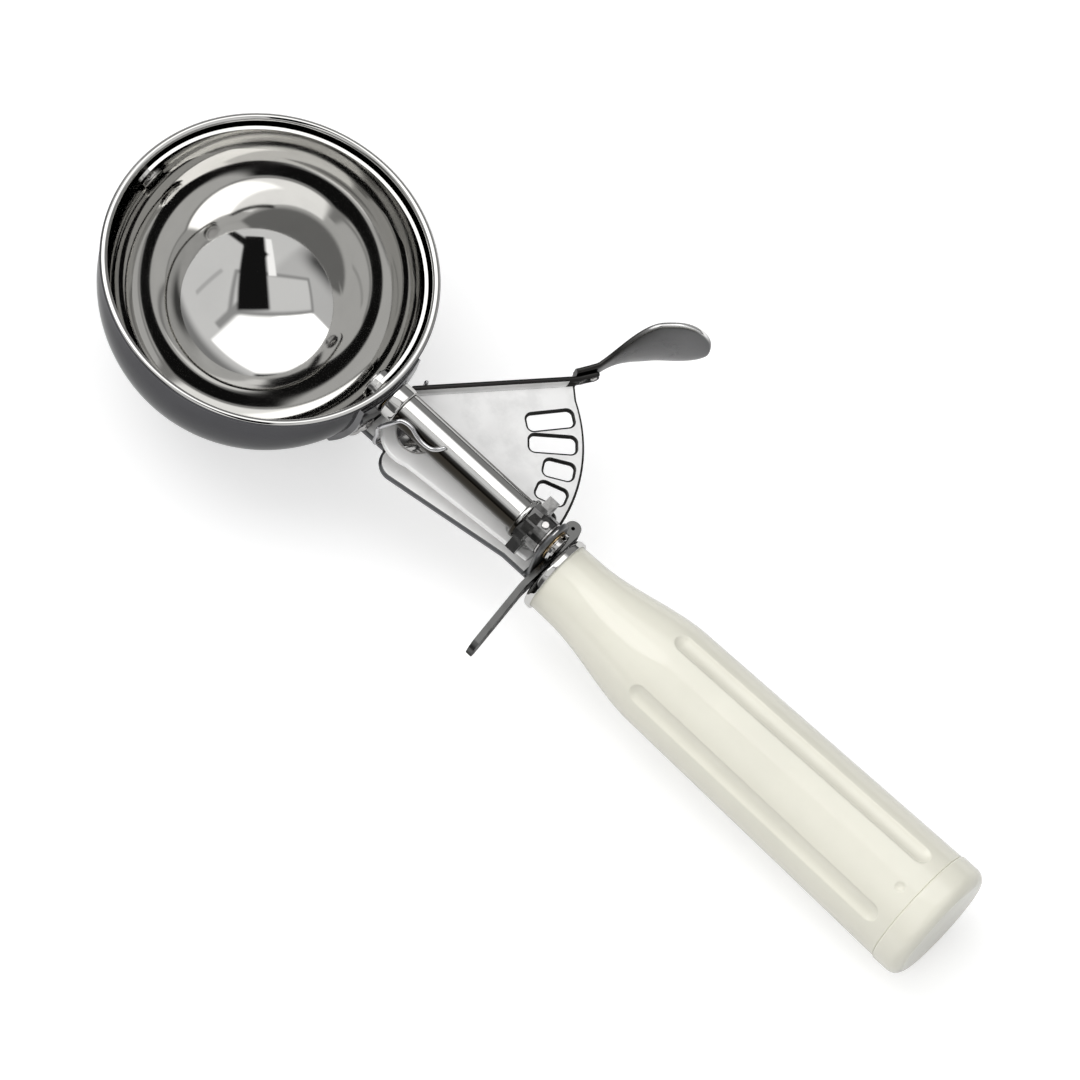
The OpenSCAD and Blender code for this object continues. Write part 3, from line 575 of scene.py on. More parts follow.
def finish(name, rgb, clean, smeared, dark=0.9, tones=90.0, smears=60.0, stretch=ORIGIN,
           depth=0.0, turn=0.0, edge=None, over=None, metallic=1.0, grazing=1.0, ior=1.5):
    """A cloudy tone down to the share dark, smears in the roughness from clean to smeared, and
    hairlines in the normal, stretched and of some depth and turn; tones and smears are the
    clouds' scales. Sheet has edge, the values of its cut edges, painted dark as shade; the tube's
    edge is painted shade on its sides. The function over lays painted light and shade on the
    colour. Grazing is the mirroring left at a flat angle."""
    if name in bpy.data.materials:
        return bpy.data.materials[name]
    material, tree = blank_material(name)
    values = {"Metallic": metallic, "Specular Tint": rgba([grazing] * 3), "IOR": ior}
    skin = use(tree, tone_group(), Light=rgba(rgb), Dark=rgba(rgb, dark), Scale=tones)["Color"]
    if edge:
        cut = use(tree, edge_group(), Face=skin, Metal=metallic, **edge)
        skin = cut["Color"]
        if metallic < 1:
            values["Metallic"] = cut["Metallic"]
    values["Base Color"] = over(tree, skin) if over else skin
    smear = use(tree, handling_group(), Scale=smears, Clean=clean, Smeared=smeared)
    values["Roughness"] = smear["Roughness"]
    if depth:
        lines = use(tree, hairline_group(), Stretch=stretch, Turn=(0.0, 0.0, turn))
        bump = add(tree, "Bump", {"Height": lines["Height"], "Strength": 1.0, "Distance": depth})
        values["Normal"] = bump["Normal"]
    set_shader(tree, values)
    return material


def chrome():
    """Mirror polish with the faintest smears."""
    return finish("Polished steel", colours().chrome, 0.03, 0.06, dark=0.97, smears=45.0)


def tube_steel():
    """Drawn tube: polished on top and below, with painted shade in dark brown on its two sides along Y, fading in
    as the normal leans from about 31 to 52 degrees off upright.
    """
    # Painted shade on the tube's sides, set by how far the normal leans from upright.
    below = {"Edge": rgba(colours().tube_shade), "Flat": 0.86, "Upright": 0.62}
    return finish("Tube steel", colours().chrome, 0.08, 0.14, dark=0.95, smears=120.0,
                  stretch=(60.0, 900.0, 900.0), depth=3e-6, edge=below)


def blade_steel():
    """Polished strip of the scraper, a little softer than the bowl."""
    return finish("Blade steel", colours().chrome, 0.06, 0.12, dark=0.93,
                  stretch=(300.0, 300.0, 900.0), depth=3e-6)


def outside_painted_shade():
    """Outside of the bowl: satin spun steel, painted dark as the shade it mirrors, far darker than the polished
    inside.
    """
    return finish("Spun steel", colours().outside, 0.12, 0.22, dark=0.92,
                  stretch=(90.0, 90.0, 1400.0), depth=5e-6, grazing=0.65)


def saddle_steel():
    """Saddle: pressed steel, painted dark as the shade between the bowl and the plate."""
    return finish("Saddle steel", colours().saddle, 0.08, 0.18, dark=0.8, smears=120.0)


def sheet_steel(corner):
    """Bright tumbled sheet: pale, faintly stained, with a soft gloss and cut edges painted near black
    as shade. Its tongue is painted dark as shade past the place corner along X, and on the hub's
    side of the shaft the sheet is painted paler, as light."""
    def painted_hub_light(tree, skin):
        # Painted light: the sheet pales towards the hub's side of the shaft.
        near = fade(tree, parts_of(tree, "Object")["Y"], SECTOR_PAINTED_LIGHT, SECTOR_SIDE, 1.0, 0.0)
        return mix(tree, near, skin, rgba(colours().frame_sheet_and_painted_light))
    low, high = node_box("sector_plate")
    # Painted shade on the cut edges, the flange's top and the tongue, past SECTOR_SIDE along Y.
    cut = {"Edge": rgba(colours().cut), "Low": low[2] + SECTOR_CUT, "Top": high[2] - SECTOR_LIP,
           "Side": SECTOR_SIDE, "Far": corner}
    return finish("Sheet steel", colours().sheet, 0.30, 0.44, dark=0.88, tones=160.0,
                  smears=220.0, stretch=(120.0, 800.0, 800.0), depth=6e-6, turn=0.6, edge=cut,
                  over=painted_hub_light, metallic=0.2)


def frame_steel():
    """Frame plate: pale brushed sheet, almost white, with faint stains, and its upright cut edges and ear painted
    dark as shade.
    """
    return finish("Frame sheet", colours().frame_sheet_and_painted_light, 0.34, 0.5, dark=0.92, tones=190.0,
                  smears=240.0, stretch=(120.0, 800.0, 800.0), depth=6e-6, turn=-0.4,
                  edge={"Edge": rgba(colours().frame_edge)}, metallic=0.0)


def rest_steel():
    """Strip of the finger rest, its upright faces and upper edge painted darker as shade."""
    # Painted shade: upright faces and the upper edge take the darker colour.
    upper = {"Edge": rgba(colours().rest_edge), "Top": node_box("finger_rest")[1][2] - REST_LIP}
    return finish("Rest steel", colours().rest, 0.2, 0.34, dark=0.7, tones=160.0, smears=220.0,
                  stretch=(800.0, 120.0, 800.0), depth=4e-6, edge=upper, grazing=0.2)


def pinion_steel():
    """Pinion: cut steel, painted dark as the shade it sits in between the ears."""
    return finish("Pinion steel", colours().pinion, 0.06, 0.2, dark=0.5, tones=400.0,
                  smears=300.0)


def pad_steel(neck):
    """Dished thumb pad: its faces worn matt by the thumb, a painted highlight on its upper edge, and
    painted shade that turns its neck black from the place neck on along X."""
    def highlight_and_neck_shade(tree, skin):
        place = parts_of(tree, "Object")
        # Painted highlight on the pad's upper edge where it faces upward.
        flat = fade(tree, parts_of(tree, "Normal")["Z"], *PAD_TILT)
        upper = maths(tree, "MULTIPLY", flat, fade(tree, place["Z"], *PAD_HIGHLIGHT))
        bright = mix(tree, upper, skin, rgba(colours().frame_sheet_and_painted_light))
        # Painted shade: the neck turns black, fading over PAD_NECK_SHADE.
        neck_shade = fade(tree, place["X"], neck, neck + PAD_NECK_SHADE, 1.0, 0.0)
        return mix(tree, neck_shade, bright, rgba(colours().cut))
    return finish("Pad steel", colours().pad, 0.14, 0.3, dark=0.85, smears=180.0,
                  stretch=(500.0, 500.0, 90.0), depth=6e-6, over=highlight_and_neck_shade)


def turned_steel():
    """Turned shafts, pins and rivets."""
    return finish("Turned steel", colours().turned, 0.12, 0.24, dark=0.8, tones=300.0,
                  smears=300.0, stretch=(1800.0, 120.0, 120.0), depth=4e-6)


def wire_steel():
    """Drawn spring wire."""
    return finish("Spring wire", colours().wire, 0.10, 0.2, dark=0.85, smears=300.0)


def bronze():
    """Sintered bronze of the bushings."""
    return finish("Bronze", colours().bronze, 0.25, 0.45, dark=0.8, tones=400.0)


def ivory():
    """Glossy moulded plastic: warm ivory, slightly cloudy, with faint flow marks."""
    return finish("Ivory plastic", colours().ivory, 0.05, 0.13, dark=0.965, tones=55.0,
                  smears=70.0, stretch=(25.0, 260.0, 260.0), depth=1.5e-5, metallic=0.0,
                  ior=1.49)


# ---------------- pieces

# Faces of the bowl past the middle of its wall, and on the rolled rim past a share of the roll's
# radius, take the outside's spun steel, which is painted dark as shade.
BALL_STEPS = 120
ROLL_STEPS = 40
WALL_MIDDLE = 0.4 * MM
ROLL_SHARE = 0.75


def bowl_inside():
    """Inner radius of the bowl: half its box less the rolled rim."""
    return half_width("bowl") - 2 * sizes().rim_roll


class SCOOP_OT_bowl(bpy.types.Operator):
    """Bowl: a half ball with a straight band and a rolled rim"""

    bl_idname = "scoop.bowl"
    bl_label = "Bowl"

    def execute(self, context):
        low, high = node_box("bowl")
        roll = sizes().rim_roll
        inside, outside = bowl_inside(), SHAFT[2] - low[2]
        rim = high[2] - SHAFT[2] - roll
        section = np.concatenate([
            arc((0, 0), inside, -90, 0, BALL_STEPS),
            arc((inside + roll, rim), roll, 180, -90, ROLL_STEPS),
            [[outside, rim - roll]],
            arc((0, 0), outside, 0, -90, BALL_STEPS),
        ])
        section[0, 0] = section[-1, 0] = 0.0
        bowl = skin_piece("bowl", turned(section, SHAFT, "z"), chrome(), 50, "bowl_shell")

        # The outside and the rim's outer part take the steel that is painted dark as shade.
        bowl.data.materials.append(outside_painted_shade())
        count = len(bowl.data.polygons)
        spot = np.empty(count * 3, dtype=np.float32)
        bowl.data.polygons.foreach_get("center", spot)
        spot = spot.reshape(-1, 3) - SHAFT
        across = np.hypot(spot[:, 0], spot[:, 1])
        past_wall = np.linalg.norm(spot, axis=1) > inside + WALL_MIDDLE
        skin = past_wall & (spot[:, 2] < rim - roll)
        skin |= across - inside - roll > ROLL_SHARE * roll
        bowl.data.polygons.foreach_set("material_index", skin.astype(np.int32))
        return {"FINISHED"}


# Rounding of the collar, and thickness and rounding of the tube's flared end
COLLAR_ROUND = 0.5 * MM
FLARE = 1.0 * MM
FLARE_ROUND = 0.4 * MM


class SCOOP_OT_shank(bpy.types.Operator):
    """Saddle, collar, tube and bushings between bowl and handle"""

    bl_idname = "scoop.shank"
    bl_label = "Shank"

    def execute(self, context):
        dressed("bowl_saddle", saddle_steel(), sizes().sheet_edge)
        axis = (0.0, SHAFT[1], SHAFT[2])
        bore = half_width("front_bushing")

        low, high = node_box("front_collar")
        section = rounded([[bore, low[0]], [high[1], low[0]], [high[1], high[0]],
                           [bore, high[0]]], COLLAR_ROUND)
        skin_piece("front_collar", turned(section, axis), chrome())

        low, high = node_box("shank_tube")
        tube, flare = sizes().tube_radius, high[1]
        back = high[0] - FLARE
        section = rounded([[bore, low[0]], [tube, low[0]], [tube, back], [flare, back],
                           [flare, high[0]], [bore, high[0]]], FLARE_ROUND)
        skin_piece("shank_tube", turned(section, axis), tube_steel())

        dressed("tip_washer", chrome(), sizes().fine_edge)
        dress_all(("saddle_rivets", "tip_pin"), turned_steel())
        dress_all(("front_bushing", "rear_bushing"), bronze())
        return {"FINISHED"}


class SCOOP_OT_frame(bpy.types.Operator):
    """Frame plate with its ear, pivot post and finger rest"""

    bl_idname = "scoop.frame_parts"
    bl_label = "Frame plate"

    def execute(self, context):
        dressed("frame_plate", frame_steel(), sizes().sheet_edge, clamp=False)
        dressed("finger_rest", rest_steel(), sizes().sheet_edge)
        dress_all(("pivot_post", "rest_rivets"), turned_steel())
        return {"FINISHED"}


def curve_through(points, steps):
    """A smooth curve through points: between two of them it is the cubic whose slopes there
    are half the way from the point before to the point after."""
    p = np.concatenate([2 * points[:1] - points[1:2], points, 2 * points[-1:] - points[-2:-1]])
    a, b, c, d = (p[i:len(p) - 3 + i, None, :] for i in range(4))
    t = np.linspace(0, 1, steps, endpoint=False)[None, :, None]
    curve = 0.5 * (2 * b + (c - a) * t + (2 * a - 5 * b + 4 * c - d) * t ** 2
                   + (3 * b - a - 3 * c + d) * t ** 3)
    return np.concatenate([curve.reshape(-1, 3), points[-1:]])


def wire_along(path, radius, lean, sides=20, caps=5):
    """Rings of a round wire with domed ends: circles of the radius stand across the path, turned
    by the part of the vector lean that is square to it, and shrink as sqrt(1 - t^2) over both
    ends."""
    along = along_path(path)
    across = lean - (along @ lean)[:, None] * along
    across /= np.linalg.norm(across, axis=1, keepdims=True)
    other = np.cross(along, across)
    across, other = (np.pad(v, ((caps, caps), (0, 0)), mode="edge") for v in (across, other))
    t = np.linspace(0, 1, caps + 1)[1:]
    dome = radius * np.sqrt(1 - t ** 2)
    front = path[0] - along[0] * (radius * t[::-1])[:, None]
    rear = path[-1] + along[-1] * (radius * t)[:, None]
    centres = np.concatenate([front, path, rear])
    reach = np.concatenate([dome[::-1], np.full(len(path), radius), dome])
    a = np.linspace(0, 2 * np.pi, sides, endpoint=False)[None, :, None]
    ring = np.cos(a) * across[:, None] + np.sin(a) * other[:, None]
    return centres[:, None] + reach[:, None, None] * ring


# The spring's hook over the tube: places along X in tube radii and angles round the tube. It
# leaves the tube at a drop below its axis. The lean sets where the wire's rings start. The wire
# bends between two places beside the pivot.
HOOK = np.array([(2.0, 122), (1.8, 136), (1.45, 149), (0.9, 153), (0.4, 149), (0.0, 142),
                 (-0.4, 141), (-0.8, 148), (-1.05, 162)])
HOOK_DROP = 1.824 * MM
COIL_STEPS = 49
WIRE_LEAN = np.array([0.35, 0.45, 1.0])


class SCOOP_OT_spring(bpy.types.Operator):
    """Return spring: a coil round the pivot, a hook over the tube and a leg at the sector"""

    bl_idname = "scoop.spring"
    bl_label = "Return spring"

    def execute(self, context):
        size = sizes()
        wire, gap = size.wire, size.wire_gap
        room = gap + wire / 2
        under = node_box("sector_plate")[0][2]
        over = node_box("pivot_bushing")[1][2]
        coil = half_width("pivot_bushing") + room
        low, high = node_box("finger_rest")[0][2] + room, under - room

        side = on_circle(size.tube_radius + gap + room, HOOK[:, 1])
        hook = np.column_stack([HOOK[:, 0] * size.tube_radius, side[:, 0], SHAFT[2] + side[:, 1]])
        hook[-1, 1] -= wire / 2

        hub = size.lever_hub + 3 * gap + room
        dive = np.array([
            (hub, 227, SHAFT[2] - HOOK_DROP), (hub, 230, over + wire), (hub, 231, under - wire),
            (1.75 * coil, 230, low + wire / 3), (1.55 * coil, 226, low),
            (1.3 * coil, 217, low), (1.08 * coil, 202, low)])
        dive = np.column_stack([on_circle(dive[:, 0], dive[:, 1]), dive[:, 2]])

        end = math.degrees(size.leg_angle) + 90
        u = np.linspace(0, 1, COIL_STEPS)
        turns = np.column_stack([on_circle(coil, 180 - (720 + 180 - end) * u),
                                 low + (high - low) * u])

        way = on_circle(1.0, math.degrees(size.leg_angle))
        out = on_circle(1.0, math.degrees(size.edge_angle) + 90)
        start = on_circle(coil, end)
        reach = (size.edge_offset + gap + room - start @ out) / (way @ out)
        leg = np.array([
            (reach / 3, high), (reach * 2 / 3, high), (reach - wire, high),
            (reach - wire / 2, high), (reach, high + wire / 3), (reach + wire / 6, high + wire),
            (reach + wire / 6, under + 2 * wire)])
        leg = np.column_stack([start + leg[:, :1] * way, leg[:, 1]])

        foot = np.array([PIVOT[0], PIVOT[1], 0.0])
        path = curve_through(np.concatenate([hook, dive, turns, leg]) + foot, 6)
        spring = ring_object("return_spring_piece", wire_along(path, wire / 2, WIRE_LEAN))
        stand_for(smooth(spring, 60), "return_spring", wire_steel(), rides=False)
        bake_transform(spring)
        return {"FINISHED"}


def blade_strip(width, inner, outer, length_steps=150, end_steps=14, width_steps=22):
    """Scraper blade at the bowl's centre: at angle a from X towards Y and height h the direction
    is (cos a cos l, sin a cos l, sin l) with sin l = h / radius. The strip is as wide as the
    blade from end to end, and past both ends its half width falls as sqrt(w^2 - (r sin a)^2)."""
    half = width / 2
    over = math.asin(half / outer)
    end = np.linspace(0, np.pi / 2, end_steps)
    steps = np.concatenate([-over * np.cos(end)[:-1], np.linspace(0, np.pi, length_steps),
                            np.pi + over * np.sin(end)[1:]])
    past = np.maximum(0, np.maximum(-steps, steps - np.pi))
    tall = np.sqrt(np.maximum(half ** 2 - (outer * np.sin(past)) ** 2, 1e-12))
    v = np.linspace(-1, 1, width_steps)
    v = np.concatenate([v, v[::-1]])
    r = np.repeat([outer, inner], width_steps)[None, :]
    lift = np.arcsin(tall[:, None] * v[None, :] / r)
    a = steps[:, None] + 0 * lift
    return np.stack([r * np.cos(a) * np.cos(lift), r * np.sin(a) * np.cos(lift),
                     r * np.sin(lift)], axis=2)


# Rounding of the edges of the blade and of its hub
BLADE_EDGE = 0.15 * MM
HUB_EDGE = 0.3 * MM


class SCOOP_OT_scraper(bpy.types.Operator):
    """Scraper blade, shaft and pinion"""

    bl_idname = "scoop.scraper"
    bl_label = "Scraper"

    def execute(self, context):
        size = sizes()
        outer = bowl_inside() - size.blade_gap
        strip = blade_strip(size.blade_width, outer - size.blade_sheet, outer)
        blade = skin_piece("scraper_blade", strip + SHAFT, blade_steel(), 40)
        bevel(blade, BLADE_EDGE, 2, 40)
        dressed("blade_hub", blade_steel(), HUB_EDGE)
        dressed("pinion", pinion_steel(), size.fine_edge)
        dress_all(("scraper_shaft", "cross_pin", "thrust_washer"), turned_steel(), size.fine_edge)
        dressed("shaft_clip", wire_steel(), size.fine_edge)
        return {"FINISHED"}


# The pad's middle line is pulled to two points past the bend, in shares of its reach along X
# and Y. Its height grows from PAD_GROWS to the share PAD_GROWN of its length and closes from the
# share PAD_CLOSING on. Its foot starts PAD_FOOT along the tongue and PAD_DROP low, and its sheet
# thins where the half height is under PAD_THINS.
PAD_PULLS = ((0.1, 0.37), (0.28, 0.7))
PAD_GROWS = 5 * MM
PAD_GROWN = 0.62
PAD_CLOSING = 0.74
PAD_FOOT = 0.2 * MM
PAD_DROP = 0.3 * MM
PAD_THINS = 2 * MM


def pad_surface(foot, bend, size, sector_z):
    """Rings of the thumb pad. Its middle line runs from the foot to the bend and on along a
    cubic curve, and rises with 3 t^2 - 2 t^3. The section across it is |z/a|^5 + |w/b|^2.6 = 1
    with a the half height and b half the sheet. The half height grows from the neck with
    3 t^2 - 2 t^3 and closes as a quarter ellipse at the tip. The thumb's side is dished by
    d (1 - (z/a)^2), and its upper edge has a bead of e (z/a)^4 w/b."""
    reach = np.array([size.pad_reach_x, size.pad_reach_y])
    tip = bend + reach
    k1, k2 = (bend + pull * reach for pull in PAD_PULLS)
    t = np.linspace(0, 1, 90)[:, None]
    cubic = ((1 - t) ** 3 * bend + 3 * t * (1 - t) ** 2 * k1 + 3 * t * t * (1 - t) * k2
             + t ** 3 * tip)
    line = np.concatenate([foot + (bend - foot) * np.linspace(0, 0.96, 14)[:, None], cubic[1:]])
    chord = tip - foot
    span = np.linalg.norm(chord)
    along = (line - foot) @ (chord / span)
    s = np.sin(np.linspace(0, np.pi / 2, 120)) * span
    line = np.stack([np.interp(s, along, line[:, 0]), np.interp(s, along, line[:, 1])], axis=1)

    grow = ease((s - PAD_GROWS) / (PAD_GROWN * span - PAD_GROWS))
    close = np.maximum(0, (s / span - PAD_CLOSING) / (1 - PAD_CLOSING))
    shut = np.sqrt(np.maximum(0, 1 - close ** 2))
    half = np.maximum((size.pad_neck + (size.pad_height - size.pad_neck) * grow) / 2 * shut, 1e-6)
    middle = sector_z + size.pad_neck / 2 - PAD_DROP + size.pad_lift * ease(1.5 * s / span)
    a = np.linspace(0, 2 * np.pi, 72, endpoint=False)
    v = (np.sign(np.cos(a)) * np.abs(np.cos(a)) ** (2 / 5))[None, :]
    w = (np.sign(np.sin(a)) * np.abs(np.sin(a)) ** (2 / 2.6))[None, :]
    thick = (size.pad_sheet / 2 * np.minimum(1, np.sqrt(half / PAD_THINS)))[:, None]
    dish = (size.pad_dish * grow * shut)[:, None]
    bead = (size.pad_bead * grow * shut)[:, None]
    off = thick * w + dish * (v ** 2 - 0.5) + bead * np.maximum(0, v) ** 4 * np.maximum(0, w)

    step = along_path(line)
    normal = np.stack([-step[:, 1], step[:, 0]], axis=1)
    flat = line[:, None, :] + off[:, :, None] * normal[:, None, :]
    z = middle[:, None] + half[:, None] * v
    return np.concatenate([flat, z[:, :, None]], axis=2)


class SCOOP_OT_lever(bpy.types.Operator):
    """Sector lever with its bushing, thumb pad and rivets"""

    bl_idname = "scoop.lever"
    bl_label = "Sector lever"

    def execute(self, context):
        size = sizes()
        e = math.degrees(size.edge_angle)
        t = e + math.degrees(size.tongue_bend)
        corner = on_circle(size.edge_offset, e + 90) + on_circle(size.edge_length, e) + PIVOT[:2]
        tongue, side = on_circle(1.0, t), on_circle(size.pad_sheet / 2, t + 90)
        dressed("sector_plate", sheet_steel(corner[0]), size.sheet_edge, clamp=False)
        foot = corner + PAD_FOOT * tongue + side
        bend = corner + size.tongue_length * tongue + side
        skin = pad_surface(foot, bend, size, node_box("sector_plate")[0][2])
        pad = ring_object("thumb_pad_piece", skin)
        reshape(pad, fill_ends, face_out)
        stand_for(smooth(pad, 55), "thumb_pad", pad_steel(bend[0]))
        dressed("pivot_bushing", bronze())
        dressed("pad_rivets", turned_steel())
        return {"FINISHED"}


def grip_radius(x, neck_x, size):
    """Radius of the handle at places x: neck + taper d + gain (3 t^2 - 2 t^3), with d from the
    neck and t from the end of the straight neck to the end of the shoulder."""
    d = x - neck_x
    return (size.neck_radius + size.taper * d + size.shoulder_gain
            * ease((d - size.neck_length) / (size.shoulder_end - size.neck_length)))


# Angle on both sides of a flute within which its ball is looked for, in radians
CUT_REACH = 0.6


def ball_cut(r, x, a, chord, depth, ends, turn):
    """Radius of a grip, r at places x and angles a, after a ball has run along it at the angle
    turn between two ends, each a pair of place and radius. The ball leaves a cut of half the
    width chord and of a depth, so its radius b is (chord^2 + depth^2) / (2 depth). From the axis
    it is met at c cos d - sqrt(b^2 - e^2 - (c sin d)^2), where c is the height of the ball's
    centre, d the angle from it, within CUT_REACH, and e the distance past either end. The two
    radii meet in a smooth minimum."""
    k = sizes().flute_blend
    ball = (chord ** 2 + depth ** 2) / (2 * depth)
    first, last = ends
    line = np.interp(x, [first[0], last[0]], [first[1], last[1]])[:, None] + ball - depth
    past = np.maximum(0, np.maximum(first[0] - x, x - last[0]))[:, None]
    d = ((a - turn + np.pi) % (2 * np.pi) - np.pi)[None, :]
    inside = np.maximum(0, ball ** 2 - past ** 2 - (line * np.sin(d)) ** 2)
    cut = line * np.cos(d) - np.sqrt(inside)
    cut = np.where((np.abs(d) < CUT_REACH) & (inside > 0), cut, r + 2 * k)
    h = np.clip(0.5 + 0.5 * (cut - r) / k, 0, 1)
    return cut * (1 - h) + r * h - k * h * (1 - h)


# Steps round the handle, the bevel that leaves a groove beside the end cap, the edges of neck
# and cap, and the ferrule's rounding and lip
HANDLE_STEPS = 440
CAP_GROOVE = 0.12 * MM
NECK_EDGE = 0.6 * MM
CAP_EDGE = 0.5 * MM
FERRULE_ROUND = 0.9 * MM
FERRULE_LIP = 0.3 * MM


class SCOOP_OT_handle(bpy.types.Operator):
    """Handle with flutes, end cap and ferrule"""

    bl_idname = "scoop.handle"
    bl_label = "Handle"

    def execute(self, context):
        size = sizes()
        neck = size.neck_radius
        ferrule_low, ferrule_high = node_box("ferrule")
        front, cap_x = node_box("handle")[0][0], node_box("handle")[1][0]
        neck_x = ferrule_high[0]
        rear = -size.flute_room - size.flute_width / 2
        fore = rear - size.flute_length + size.flute_width
        # Rings along the handle, closer together where a flute ends
        spans = ((neck_x, fore - 8 * MM, 50), (fore - 7.6 * MM, fore - 3 * MM, 14),
                 (fore - 2.9 * MM, fore + 0.6 * MM, 30), (fore + 1.5 * MM, rear - 1.5 * MM, 40),
                 (rear - 0.6 * MM, cap_x - CAP_GROOVE, 62))
        x = np.concatenate([np.linspace(*span) for span in spans])
        a = np.linspace(0, 2 * np.pi, HANDLE_STEPS, endpoint=False)
        r = grip_radius(x, neck_x, size)[:, None] + 0 * a[None, :]
        spot = cap_x - size.dimple_room
        flute = [(place, grip_radius(place, neck_x, size)) for place in (fore, rear)]
        dimple = [(place, grip_radius(spot, neck_x, size)) for place in (spot, spot + 1e-6)]
        for i in range(size.flutes):
            turn = size.flute_angle + i * 2 * np.pi / size.flutes
            r = ball_cut(r, x, a, size.flute_width / 2, size.flute_depth, flute, turn)
        turn = size.flute_angle - np.pi / size.flutes
        r = ball_cut(r, x, a, size.dimple_radius, size.dimple_depth, dimple, turn)

        lead = np.array([[front, 0.0], [front, neck - NECK_EDGE], [front + NECK_EDGE, neck]])
        tail = np.array([[cap_x, r[-1].mean() - CAP_GROOVE], [cap_x, 0.0]])
        flat = np.ones_like(a)[None, :]
        all_x = np.concatenate([lead[:, 0], x, tail[:, 0]])[:, None] * flat
        all_r = np.concatenate([lead[:, 1:] * flat, r, tail[:, 1:] * flat])
        points = np.stack([all_x, all_r * np.sin(a), all_r * np.cos(a)], axis=2)
        skin_piece("handle", points, ivory(), 45)

        end = node_box("end_cap")[1][0]
        cap_r = grip_radius(cap_x, neck_x, size) + size.cap_proud
        fillet = size.cap_fillet
        section = np.concatenate([
            [[0.0, cap_x]], arc((cap_r - CAP_EDGE, cap_x + CAP_EDGE), CAP_EDGE, -90, 0, 8),
            arc((cap_r - fillet, end - fillet), fillet, 0, 90, 24), [[0.0, end]]])
        skin_piece("end_cap", turned(section), ivory(), 40)

        outer, low, lip = ferrule_high[1], ferrule_low[0], neck_x
        section = np.concatenate([
            [[0.0, low]],
            arc((outer - FERRULE_ROUND, low + FERRULE_ROUND), FERRULE_ROUND, -90, 0, 12),
            rounded([[outer, lip - FERRULE_LIP], [outer, lip], [neck, lip],
                     [neck, lip - 2 * FERRULE_LIP]], FERRULE_LIP / 2),
            [[0.0, low + 2 * FERRULE_LIP]]])
        skin_piece("ferrule", turned(section), chrome(), 40)
        return {"FINISHED"}


# ---------------- stage

# The camera's directions to the right and up, the middle of its view, the width seen there and
# its distance
VIEW_RIGHT = Vector((0.7296, 0.6574, 0.1884))
VIEW_UP = Vector((-0.6673, 0.6241, 0.4066))
VIEW_CENTRE = Vector((-0.11099, 0.00129, 0.0044))
VIEW_WIDTH = 0.21426
VIEW_DISTANCE = 3.0
SENSOR = 36.0

# Half length of the floor, its gap under the bowl, the place along X under the end cap, and its
# glow to the camera and in mirrors
FLOOR_SIZE = 6.0
FLOOR_GAP = 0.2 * MM
HANDLE_FOOT = -2.0 * MM
FLOOR_GLOW = 0.5
MIRROR_GLOW = 0.25
# Place of the lamp from the middle of the view, its size and its power
KEY_PLACE = Vector((-0.2, -1.3, 1.0))
KEY_SIZE = 1.0
KEY_WATTS = 5.4

# Brightness of the horizon and of the walls, the rise of the direction at which each is full,
# and the least rise that the panels' plane is met at.
HORIZON = 0.12
WALLS = 0.84
HORIZON_RISE = 0.10
WALLS_RISE = 0.45
LEAST_RISE = 0.02

# Panels in a plane at height 1 over the object: centre along X and Y, turn in degrees, half
# length, half width, softness and brightness. Each lies over the ones before it.
PANELS = (
    (-1.0, -2.3, 0, 1.25, 1.75, 0.10, 0.68),
    (-0.3, 2.9, 0, 2.2, 2.1, 0.12, 0.28),
    (-0.5, -3.8, 0, 0.5, 2.4, 0.30, 0.10),
    (-0.62, 0.03, 0, 0.74, 0.63, 0.03, 1.8),
    (-0.79, -0.225, 0, 0.57, 0.375, 0.05, 3.0),
    (-1.12, 0.47, 35, 0.50, 0.10, 0.05, 0.05),
    (-0.036, -0.459, 41, 0.62, 0.31, 0.03, 0.4),
    (-0.036, -0.459, 41, 0.56, 0.25, 0.03, 0.85),
    (0.2, 0.2, 0, 0.05, 0.22, 0.03, 0.4),
    (0.77, 0.15, 0, 0.04, 0.28, 0.03, 0.6),
    (0.50, -0.93, -45, 0.45, 0.06, 0.02, 1.4),
    (0.55, -0.58, -44, 0.72, 0.20, 0.03, 0.01),
    (1.10, -0.80, 0, 0.60, 0.09, 0.04, 0.01),
)


def make_camera():
    """A long lens far off, turned so that the handle runs to the lower right."""
    right = VIEW_RIGHT.normalized()
    back = right.cross(VIEW_UP).normalized()
    up = back.cross(right)
    data = bpy.data.cameras.new("camera")
    data.sensor_width = SENSOR
    data.lens = SENSOR * VIEW_DISTANCE / VIEW_WIDTH
    data.clip_start, data.clip_end = 0.01, 20.0
    camera = new_object("camera", data)
    camera.matrix_world = Matrix.Translation(VIEW_CENTRE + back * VIEW_DISTANCE) @ Matrix(
        (right, up, back)).transposed().to_4x4()
    bpy.context.scene.camera = camera


def make_lamp():
    """A square area lamp that faces the middle of the view and stays out of mirrors."""
    data = bpy.data.lights.new("key_lamp", "AREA")
    data.shape = "SQUARE"
    data.size = KEY_SIZE
    data.energy = KEY_WATTS
    lamp = new_object("key_lamp", data)
    turn = (-KEY_PLACE).to_track_quat("-Z", "Y").to_matrix().to_4x4()
    lamp.matrix_world = Matrix.Translation(VIEW_CENTRE + KEY_PLACE) @ turn
    lamp.visible_glossy = False


